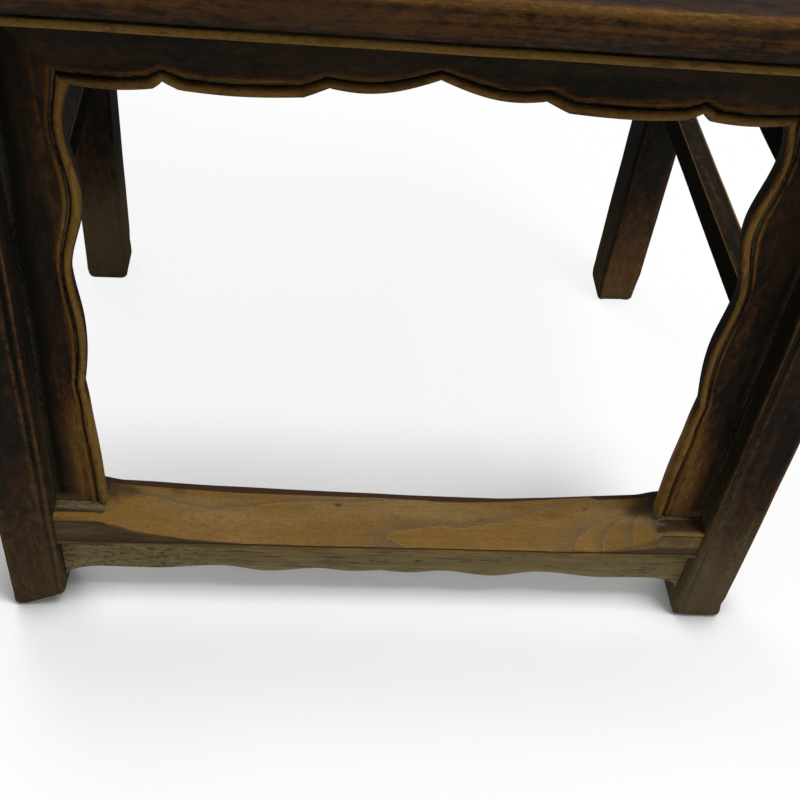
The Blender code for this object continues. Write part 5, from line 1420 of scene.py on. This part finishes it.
def rail_section(look):
    """Moulded section of a seat rail: out from its inner edge, and up from its underside."""
    lip = RAIL_WIDTH - RAIL_UNDERCUT
    ledge = lip - RAIL_BEAD_STEP
    bead_top = RAIL_BEAD + RAIL_BEAD_STEP
    top = SEAT_THICKNESS
    edge_low = top - RAIL_EDGE
    ease = look.seat_ease
    section = [(0, 0, PLAIN), (lip - 0.003, 0, PLAIN), (lip - 0.0006, 0.0002, (0.4, 0, 0))]
    for step in range(1, 6):
        angle = math.pi * step / 6
        u = lip + RAIL_BEAD_STEP * math.sin(angle)
        section.append((u, RAIL_BEAD / 2 * (1 - math.cos(angle)), (0.8, 0, 0)))
    section.append((lip - 0.0004, RAIL_BEAD + 0.0004, (0.1, 0.9, 0.2)))
    section.append((ledge, bead_top, (0, 1, 0.3)))
    for step, angle in enumerate(quarter_turn(10)[1:], 1):
        u = between(ledge, RAIL_WIDTH, math.sin(angle))
        mark = (0.1 + 0.3 * step / 10, max(0.0, 0.5 - step / 6), 0)
        section.append((u, between(edge_low, bead_top, math.cos(angle)), mark))
    section.append((RAIL_WIDTH, top - ease - 0.004, (0.3, 0, 0)))
    for angle in quarter_turn(ARC_STEPS):
        u = RAIL_WIDTH - ease * (1 - math.cos(angle))
        section.append((u, top - ease * (1 - math.sin(angle)), (0.6, 0, 0)))
    return section + [
        (RAIL_WIDTH - ease - 0.003, top, (0.35, 0, 0)),
        (RAIL_WIDTH - ease - 0.010, top, (0.1, 0, 0)),
        (0.006, top, (0.1, 0, 0)),
        (0.0007, top, (0.4, 0, 0)),
        (0, top - 0.0007, (0.3, 0.4, 0)),
        (0, top - 0.010, (0, 0.6, 0)),
    ]


def make_seat_frame(context):
    section = rail_section(context.scene.armchair_shape)
    depth = SEAT_BACK_Y - SEAT_FRONT_Y
    middle = Vector((0, (SEAT_BACK_Y + SEAT_FRONT_Y) / 2, SEAT_UNDERSIDE))
    for side, outward, length, apart, run in (
        ("front", -Y_AXIS, SEAT_WIDTH, depth, CROSSWISE),
        ("back", Y_AXIS, SEAT_WIDTH, depth, CROSSWISE),
        ("right", X_AXIS, depth, SEAT_WIDTH, FORE_AND_AFT),
        ("left", -X_AXIS, depth, SEAT_WIDTH, FORE_AND_AFT),
    ):
        inner = middle + outward * (apart / 2 - RAIL_WIDTH)
        along = Z_AXIS.cross(outward)
        rings = []
        for share in steps_between(-1, 1, 0.018 / length):
            ring = []
            for u, v, (worn, grime, dust) in section:
                half = length / 2 - (RAIL_WIDTH - u) - GAP
                near_mitre = max(0.0, 1 - half * (1 - abs(share)) / 0.0012)
                place = inner + outward * u + Z_AXIS * v + along * half * share
                ring.append((place, (worn, max(grime, 0.7 * near_mitre), dust)))
            rings.append(ring)
        node = f"seat_rail_{side}"
        shape(context, node + "_timber", run, [rings], node, "dark_lacquer")


def make_seat_panel(context):
    inner_x = SEAT_SIDE_X - RAIL_WIDTH - PANEL_SETBACK
    low = SEAT_FRONT_Y + RAIL_WIDTH + PANEL_SETBACK
    high = SEAT_BACK_Y - RAIL_WIDTH - PANEL_SETBACK
    middle_y = (low + high) / 2
    under = SEAT_HEIGHT - PANEL_DEPTH
    rings = []
    for x in steps_between(-inner_x, inner_x, 0.010):
        ring = [(Vector((x, high, under)), PLAIN), (Vector((x, low, under)), PLAIN)]
        for y in steps_between(low, high, 0.010):
            to_rim = min(inner_x - abs(x), y - low, high - y)
            rim = smooth(1 - to_rim / 0.008)
            sat_on = math.exp(-((x / 0.15) ** 2) - ((y - middle_y) / 0.11) ** 2)
            mark = (0.15 + 0.35 * sat_on, 0.6 * rim, 0.2 * rim)
            ring.append((Vector((x, y, SEAT_HEIGHT - PANEL_REVEAL)), mark))
        rings.append(ring)
    shape(context, "seat_board", CROSSWISE, [rings], "seat_panel", "brown_lacquer")


def make_battens(context):
    ease = context.scene.armchair_shape.board_ease
    section = bar_section(BATTEN_WIDTH, BATTEN_HEIGHT, ease, 0.4)
    low = SEAT_FRONT_Y + RAIL_WIDTH + GAP
    high = SEAT_BACK_Y - RAIL_WIDTH - GAP
    z = SEAT_HEIGHT - PANEL_DEPTH - GAP - BATTEN_HEIGHT / 2
    for side, x in (("left", -BATTEN_SPACING / 2), ("right", BATTEN_SPACING / 2)):
        places = [Vector((x, y, z)) for y in steps_between(low, high, 0.012)]
        rings = [ring_at(section, place, X_AXIS, Z_AXIS) for place in places]
        node = f"seat_batten_{side}"
        shape(context, node + "_timber", FORE_AND_AFT, [rings], node, "brown_lacquer")


# Back


def crest_middle(share):
    reach = abs(share)
    y, z = CREST_POST_Y, CREST_HEIGHT
    if reach < CREST_POST_SHARE:
        swell = (1 + math.cos(math.pi * reach / CREST_POST_SHARE)) / 2
        y += CREST_BOW * swell
        z += CREST_CROWN * swell
    else:
        past = (reach - CREST_POST_SHARE) / (1 - CREST_POST_SHARE)
        y += CREST_END_SWEEP * past**2
        z += CREST_END_RISE * past**2
    return Vector((share * CREST_LENGTH / 2, y, z))


def crest_size(share):
    reach = abs(share)
    if reach < CREST_POST_SHARE:
        part = smooth((reach - CREST_PILLOW_SHARE) / (CREST_SHOULDER_SHARE - CREST_PILLOW_SHARE))
        return [between(size, CREST_POST_DIAMETER, part) for size in CREST_CENTRE]
    part = smooth((reach - CREST_POST_SHARE) / (1 - CREST_POST_SHARE))
    return [between(CREST_POST_DIAMETER, CREST_END_DIAMETER, part)] * 2


def crest_ring(share, shrink=0.0):
    middle = crest_middle(share)
    depth, height = crest_size(share)
    ring = []
    for index in range(ROUND_SIDES):
        angle = 2 * math.pi * index / ROUND_SIDES
        y = (depth / 2 - shrink) * math.cos(angle)
        z = (height / 2 - shrink) * math.sin(angle)
        rubbed = 0.25 + 0.35 * max(0.0, math.sin(angle)) * math.exp(-((share / 0.3) ** 2))
        ring.append((middle + Vector((0, y, z)), (rubbed + 12 * shrink, 0, 0)))
    return ring


def make_yoke(context):
    end = 1 - 2 * CREST_END_ROUND / CREST_LENGTH
    rings = [crest_ring(share) for share in steps_between(-end, end, 0.02)]
    for part in (0.3, 0.6, 0.85, 1.0):
        share = between(end, 1, math.sin(part * math.pi / 2))
        shrink = CREST_END_ROUND * (1 - math.cos(part * math.pi / 2))
        rings = [crest_ring(-share, shrink)] + rings + [crest_ring(share, shrink)]
    shape(context, "yoke", CROSSWISE, [rings], "crest_rail", "dark_lacquer", bent=True)


def make_splat(context):
    ease = context.scene.armchair_shape.board_ease
    crown = crest_middle(0)
    crown.z -= CREST_CENTRE[1] / 2
    foot = Vector((0, BACK_POST_Y, SEAT_HEIGHT - SPLAT_IN_SEAT, SPLAT_WIDTH_BOTTOM))
    base = Vector((0, BACK_POST_Y, SEAT_HEIGHT + SPLAT_STRAIGHT, SPLAT_WIDTH_BOTTOM))
    top = Vector((0, crown.y, crown.z + SPLAT_IN_CREST, SPLAT_WIDTH_TOP))

    def bend(knot, up, forward, back):
        knot.y = base.y + SPLAT_LUMBAR * forward + (top.y - base.y) * back

    route = bent_route(foot, base, top, SPLAT_KNOT_SHARES, bend)
    rings = []
    for index, point in enumerate(route):
        over = heading(route, index).cross(X_AXIS).normalized()
        section = bar_section(point.w, SPLAT_THICKNESS, ease, 0.8)
        rings.append(ring_at(section, point.xyz, X_AXIS, over))
    shape(context, "splat", UPRIGHT, [rings], "back_splat", "brown_lacquer", bent=True)


# Arms


def bracket_rings(look):
    """Layers through the small board behind the goose neck, each a copy of its outline."""
    corner = NECK_ROUTE[-1].xyz
    behind = on_arm(corner.y + BRACKET_LENGTH).xyz
    along = Vector((behind.x - corner.x, behind.y - corner.y, 0)).normalized()
    reach = BRACKET_LENGTH + FRONT_POST_TOP_RADIUS
    fall = BRACKET_HEIGHT + ARM_RADIUS
    marks = [Vector((across * reach, -down * fall)) for across, down in BRACKET_EDGE_SHARES]
    edge = curve([marks[0]] + marks + [marks[-1]], 4)
    outline = [Vector((0, 0))] + edge + [Vector((0, -fall))]
    inward = []
    for before, after in zip(outline[-1:] + outline[:-1], outline[1:] + outline[:1]):
        travel = (after - before).normalized()
        inward.append(Vector((travel.y, -travel.x)))
    half = BRACKET_THICKNESS / 2
    ease = look.board_ease
    layers = [(-half, 3 * ease, 0.0), (-half, ease, 0.6), (ease - half, 0, 0.9)]
    layers += [(-deep, inset, wear) for deep, inset, wear in reversed(layers)]
    side = along.cross(Z_AXIS)
    rings = []
    for deep, inset, wear in layers:
        ring = []
        for p, inwards in zip(outline, inward):
            q = p + inwards * inset
            post = min(NECK_ROUTE, key=lambda point: abs(point.z - corner.z - q.y)).xyz
            q.x += max(0.0, (post - corner).dot(along)) * (1 - q.x / reach)
            place = corner + along * q.x + Z_AXIS * q.y + side * deep
            ring.append((place, (wear, 0, 0.1)))
        rings.append(ring)
    return rings


def make_arms(context):
    post = side_post_route()
    bracket = bracket_rings(context.scene.armchair_shape)
    parts = (
        ("arm_rest_", FORE_AND_AFT, round_rings(ARM_ROUTE, 0.5), "arm_", True),
        ("arm_side_post_", UPRIGHT, round_rings(post, 0.3), "side_post_", True),
        ("goose_neck_bracket_", UPRIGHT, bracket, "arm_bracket_", False),
    )
    for side in ("right", "left"):
        for name, run, rings, node, bent in parts:
            rings = rings if side == "right" else mirrored(rings)
            shape(context, name + side, run, [rings], node + side, "dark_lacquer", bent)


# Stage


def make_floor(context):
    bm = bmesh.new()
    bmesh.ops.create_grid(bm, x_segments=8, y_segments=8, size=6)
    mesh = bpy.data.meshes.new("studio_floor")
    bm.to_mesh(mesh)
    bm.free()
    floor = bpy.data.objects.new("studio_floor", mesh)
    context.scene.collection.objects.link(floor)
    finish = Finish("pale_floor", context.scene.armchair_colours)
    mesh.materials.append(finish.material)
    reach = {"Distance": CONTACT_REACH}
    # Contact shadows painted into the floor's colour from an ambient-occlusion node
    open_air = finish.node("ShaderNodeAmbientOcclusion", "AO", reach, samples=16)
    floor_with_painted_shade = finish.blend(open_air.spread(*CONTACT_SHADE), BLACK, "floor")
    feeds = {"Base Color": floor_with_painted_shade, "Roughness": 0.9, "Specular IOR Level": 0.0}
    lit = finish.shaded(feeds)
    glow = finish.node("ShaderNodeEmission", 0, {"Color": WHITE, "Strength": 1.0})
    place = finish.node("ShaderNodeTexCoord", "Object")
    away = finish.node("ShaderNodeSeparateXYZ", "Y", {0: place}) - FLOOR_DARKEST_Y
    far = finish.node("ShaderNodeVectorMath", "Value", {0: place}, operation="LENGTH")
    glow_share = context.scene.armchair_shape.floor_glow
    clear = abs(away).spread(*FLOOR_CLEARING, glow_share)
    whiter = far.spread(*FLOOR_FAR_OFF).most(away.spread(*FLOOR_BEFORE), clear)
    mixed = {0: finish.seen_by("Camera") * whiter, 1: lit, 2: glow}
    surface = finish.node("ShaderNodeMixShader", 0, mixed)
    finish.feed(finish.tree.nodes["Material Output"].inputs["Surface"], surface)


def make_world(context):
    world = bpy.data.worlds.new("studio_air")
    context.scene.world = world
    nodes = Nodes(world, context.scene.armchair_colours)
    nodes.tree.nodes.clear()
    strength = context.scene.armchair_shape.air_light
    air = nodes.node("ShaderNodeBackground", 0, {"Color": WHITE, "Strength": strength})
    white = nodes.node("ShaderNodeBackground", 0, {"Color": WHITE, "Strength": 1.0})
    seen = nodes.seen_by("Camera", "Glossy", "Transmission")
    surface = nodes.node("ShaderNodeMixShader", 0, {0: seen, 1: air, 2: white})
    out = nodes.tree.nodes.new("ShaderNodeOutputWorld")
    nodes.feed(out.inputs["Surface"], surface)


def make_lamps(context):
    for name, place, target, size, power in LAMPS:
        data = bpy.data.lights.new(name, "AREA")
        data.shape = "DISK"
        data.size = size
        data.energy = power
        lamp = bpy.data.objects.new(name, data)
        lamp.location = place
        aim = Vector(target) - Vector(place)
        lamp.rotation_euler = aim.to_track_quat("-Z", "Y").to_euler()
        context.scene.collection.objects.link(lamp)


def make_camera(context):
    data = bpy.data.cameras.new("photo_camera")
    data.sensor_width = CAMERA_SENSOR
    data.lens = CAMERA_LENS
    camera = bpy.data.objects.new("photo_camera", data)
    camera.location = CAMERA_PLACE
    turn = Matrix.Identity(3)
    for angle, axis in CAMERA_TURNS:
        turn = turn @ Matrix.Rotation(angle, 3, axis)
    camera.rotation_euler = turn.to_euler()
    context.scene.collection.objects.link(camera)
    context.scene.camera = camera


# What a user would change


def length(name, description, value):
    return FloatProperty(name=name, description=description, default=value, unit="LENGTH")


def amount(name, description, value):
    return FloatProperty(name=name, description=description, default=value)


def paint(name, description, value):
    return FloatVectorProperty(
        name=name, description=description, default=value, subtype="COLOR", size=3, min=0, max=1
    )


class ArmchairShape(bpy.types.PropertyGroup):
    """Sizes of the mouldings, the wear and the stage."""

    arris_ease: length("Leg arris", "Roundness of the legs' plain corners", 0.0034)
    stretcher_ease: length("Stretcher arris", "Roundness of the stretchers' corners", 0.0020)
    board_ease: length("Board arris", "Roundness of the edges of thin boards", 0.0016)
    seat_ease: length("Seat arris", "Roundness of the seat's top edge", 0.0024)
    tread_ease: length("Footrest arris", "Roundness of the footrest's worn edges", 0.0014)
    tread_hollow: length(
        "Footrest hollow", "How far feet have hollowed the footrest's slope", 0.0008
    )
    corner_bead_round: length(
        "Corner bead", "Roundness of the bead on the inner front corners", 0.0036
    )
    corner_groove_depth: length(
        "Corner groove", "Depth of the groove beside the corner bead", 0.0013
    )
    foot_rounding: length("Foot rounding", "Height over which the feet draw in", 0.005)
    foot_batter: amount("Foot dents", "Share by which knocks draw the feet's corners in", 0.35)
    foot_batter_height: length("Dented height", "Height that knocks reach up the legs", 0.045)
    hand_sway: length("Hand sway", "Unevenness left by hand planes", 0.00035)
    ridge_wear: amount("Ridge wear", "Share of lacquer rubbed off the ridge beside the bead", 0.66)
    bead_wear: amount("Leg bead wear", "Share of lacquer rubbed off the legs' corner bead", 0.42)
    hollow_bead: amount(
        "Hollow bead",
        "How wide the boards' bead is in their hollows, as a share of its full width",
        0.74,
    )
    left_slighter: length(
        "Left board", "How much slighter the left lobed board is at its middle", 0.0026
    )
    floor_glow: amount("Floor glow", "Share of the floor's own white in the camera's view", 0.87)
    air_light: amount("Air light", "Strength of the light from all round", 0.45)


class ArmchairColours(bpy.types.PropertyGroup):
    """Colours of the timbers, the lacquer and what has settled on them, with the grime that also
    paints shade.
    """

    wood_gold: paint("Gold wood", "Timber bared by rubbing", (0.156, 0.086, 0.0180))
    wood_tan: paint("Tan wood", "Broad streaks of the same timber", (0.112, 0.061, 0.0145))
    wood_amber: paint("Amber wood", "Timber that keeps a little lacquer", (0.058, 0.0250, 0.0060))
    wood_brown: paint("Brown wood", "Timber under thin lacquer", (0.038, 0.0205, 0.0095))
    lacquer_black: paint("Black lacquer", "Old lacquer where it is thick", (0.0062, 0.0055, 0.0038))
    lacquer_red: paint("Red lacquer", "Old lacquer where it is thin", (0.021, 0.0100, 0.0050))
    # Grime is also painted shade: on side faces, undersides and edge faces, under overhangs and in
    # the spandrels' fields
    grime: paint("Grime", "Dark dirt in grooves", (0.0065, 0.0062, 0.0045))
    dust: paint("Dust", "Pale dust and crust in corners", (0.098, 0.079, 0.042))
    foot_dust: paint("Foot dust", "Brown film near the floor", (0.066, 0.045, 0.022))
    tread_gold: paint("Tread gold", "Golden streaks of the footrest", (0.192, 0.103, 0.021))
    tread_tan: paint("Tread tan", "Tan streaks of the footrest", (0.165, 0.089, 0.021))
    tread_pale: paint(
        "Tread pale", "Paler clouds and ring edges on the footrest", (0.230, 0.150, 0.058)
    )
    tread_grey: paint("Tread grey", "Late wood of the footrest's rings", (0.098, 0.074, 0.045))
    tread_line: paint("Tread line", "Dark fibres and pores of the footrest", (0.085, 0.050, 0.020))
    edge_brown: paint("Edge brown", "Lacquer left on the footrest's edges", (0.038, 0.0230, 0.0090))
    edge_tan: paint("Edge tan", "Thin lacquer on the footrest's ends", (0.072, 0.047, 0.0160))
    edge_red: paint(
        "Edge red", "Thick lacquer left on the footrest's back edge", (0.046, 0.0225, 0.0130)
    )
    # Edge dark also paints the shadow under the footrest on the board below it
    edge_dark: paint("Edge dark", "Dirt beside the footrest's mouldings", (0.018, 0.013, 0.008))
    board_olive: paint("Board olive", "Greyed timber under the footrest", (0.162, 0.122, 0.049))
    board_tan: paint("Board tan", "Warmer streaks of the same board", (0.200, 0.147, 0.066))
    board_dark: paint("Board dark", "Stains on the same board", (0.050, 0.038, 0.018))
    board_pale: paint("Board pale", "Its rubbed lower edge", (0.170, 0.138, 0.070))
    crust: paint("Crust", "Pale crust on the same board", (0.215, 0.185, 0.110))
    floor: paint("Floor", "The studio floor", (0.80, 0.80, 0.80))
    lacquer_gloss: amount("Lacquer gloss", "Strength of the lacquer's reflections", 0.04)
    wood_gloss: amount("Wood gloss", "Strength of the bare wood's reflections", 0.05)
    relief: amount("Relief", "Strength of the grain and the edges of the lacquer", 0.55)


class ShapeStep:
    """What every step shares: it can be undone, and it is listed in the sidebar."""

    bl_options = {"REGISTER", "UNDO"}


class ARMCHAIR_OT_front_legs(ShapeStep, bpy.types.Operator):
    """Shape both front legs with their goose-neck posts"""

    bl_idname = "armchair.front_legs"
    bl_label = "Front legs"

    def execute(self, context):
        make_front_legs(context)
        return {"FINISHED"}


class ARMCHAIR_OT_back_legs(ShapeStep, bpy.types.Operator):
    """Shape both back legs with their raked posts"""

    bl_idname = "armchair.back_legs"
    bl_label = "Back legs"

    def execute(self, context):
        make_back_legs(context)
        return {"FINISHED"}


class ARMCHAIR_OT_stretchers(ShapeStep, bpy.types.Operator):
    """Shape the side and back stretchers"""

    bl_idname = "armchair.stretchers"
    bl_label = "Stretchers"

    def execute(self, context):
        make_stretchers(context)
        return {"FINISHED"}


class ARMCHAIR_OT_spandrels(ShapeStep, bpy.types.Operator):
    """Shape the lobed and beaded spandrels of the front frame"""

    bl_idname = "armchair.spandrels"
    bl_label = "Spandrels"

    def execute(self, context):
        make_spandrels(context)
        return {"FINISHED"}


class ARMCHAIR_OT_front_apron(ShapeStep, bpy.types.Operator):
    """Shape the lobed apron under the front of the seat"""

    bl_idname = "armchair.front_apron"
    bl_label = "Front apron"

    def execute(self, context):
        make_front_apron(context)
        return {"FINISHED"}


class ARMCHAIR_OT_footrest(ShapeStep, bpy.types.Operator):
    """Shape the worn footrest"""

    bl_idname = "armchair.footrest"
    bl_label = "Footrest"

    def execute(self, context):
        make_footrest(context)
        return {"FINISHED"}


class ARMCHAIR_OT_footrest_apron(ShapeStep, bpy.types.Operator):
    """Shape the scalloped board under the footrest"""

    bl_idname = "armchair.footrest_apron"
    bl_label = "Footrest apron"

    def execute(self, context):
        make_footrest_apron(context)
        return {"FINISHED"}


class ARMCHAIR_OT_plain_aprons(ShapeStep, bpy.types.Operator):
    """Shape the bracketed aprons under the sides and back of the seat"""

    bl_idname = "armchair.plain_aprons"
    bl_label = "Plain aprons"

    def execute(self, context):
        make_plain_aprons(context)
        return {"FINISHED"}


class ARMCHAIR_OT_seat(ShapeStep, bpy.types.Operator):
    """Shape the mitred seat frame, its board and its battens"""

    bl_idname = "armchair.seat"
    bl_label = "Seat"

    def execute(self, context):
        make_seat_frame(context)
        make_seat_panel(context)
        make_battens(context)
        return {"FINISHED"}


class ARMCHAIR_OT_back(ShapeStep, bpy.types.Operator):
    """Shape the yoke and the curved splat"""

    bl_idname = "armchair.back"
    bl_label = "Yoke and splat"

    def execute(self, context):
        make_yoke(context)
        make_splat(context)
        return {"FINISHED"}


class ARMCHAIR_OT_arms(ShapeStep, bpy.types.Operator):
    """Shape the arms, their side posts and brackets"""

    bl_idname = "armchair.arms"
    bl_label = "Arms"

    def execute(self, context):
        make_arms(context)
        return {"FINISHED"}


class ARMCHAIR_OT_stage(ShapeStep, bpy.types.Operator):
    """Set the floor, the light and the camera"""

    bl_idname = "armchair.stage"
    bl_label = "Stage"

    def execute(self, context):
        make_floor(context)
        make_world(context)
        make_lamps(context)
        make_camera(context)
        context.scene.view_settings.view_transform = "Standard"
        return {"FINISHED"}


STEPS = (
    ARMCHAIR_OT_front_legs,
    ARMCHAIR_OT_back_legs,
    ARMCHAIR_OT_stretchers,
    ARMCHAIR_OT_spandrels,
    ARMCHAIR_OT_front_apron,
    ARMCHAIR_OT_footrest,
    ARMCHAIR_OT_footrest_apron,
    ARMCHAIR_OT_plain_aprons,
    ARMCHAIR_OT_seat,
    ARMCHAIR_OT_back,
    ARMCHAIR_OT_arms,
    ARMCHAIR_OT_stage,
)


class ARMCHAIR_PT_steps(bpy.types.Panel):
    """The steps of the armchair and what they take their sizes and colours from"""

    bl_idname = "ARMCHAIR_PT_steps"
    bl_label = "Yoke-back armchair"
    bl_space_type = "VIEW_3D"
    bl_region_type = "UI"
    bl_category = "Armchair"

    def draw(self, context):
        column = self.layout.column(align=True)
        for step in STEPS:
            column.operator(step.bl_idname)
        for group in (context.scene.armchair_shape, context.scene.armchair_colours):
            box = self.layout.box()
            for name in group.__annotations__:
                box.prop(group, name)


CLASSES = (ArmchairShape, ArmchairColours) + STEPS + (ARMCHAIR_PT_steps,)


def register():
    for item in CLASSES:
        bpy.utils.register_class(item)
    bpy.types.Scene.armchair_shape = PointerProperty(type=ArmchairShape)
    bpy.types.Scene.armchair_colours = PointerProperty(type=ArmchairColours)


def unregister():
    del bpy.types.Scene.armchair_colours
    del bpy.types.Scene.armchair_shape
    for item in reversed(CLASSES):
        bpy.utils.unregister_class(item)


def main():
    register()
    bpy.ops.armchair.front_legs()
    bpy.ops.armchair.back_legs()
    bpy.ops.armchair.stretchers()
    bpy.ops.armchair.spandrels()
    bpy.ops.armchair.front_apron()
    bpy.ops.armchair.footrest()
    bpy.ops.armchair.footrest_apron()
    bpy.ops.armchair.plain_aprons()
    bpy.ops.armchair.seat()
    bpy.ops.armchair.back()
    bpy.ops.armchair.arms()
    bpy.ops.armchair.stage()


if __name__ == "__main__":
    main()
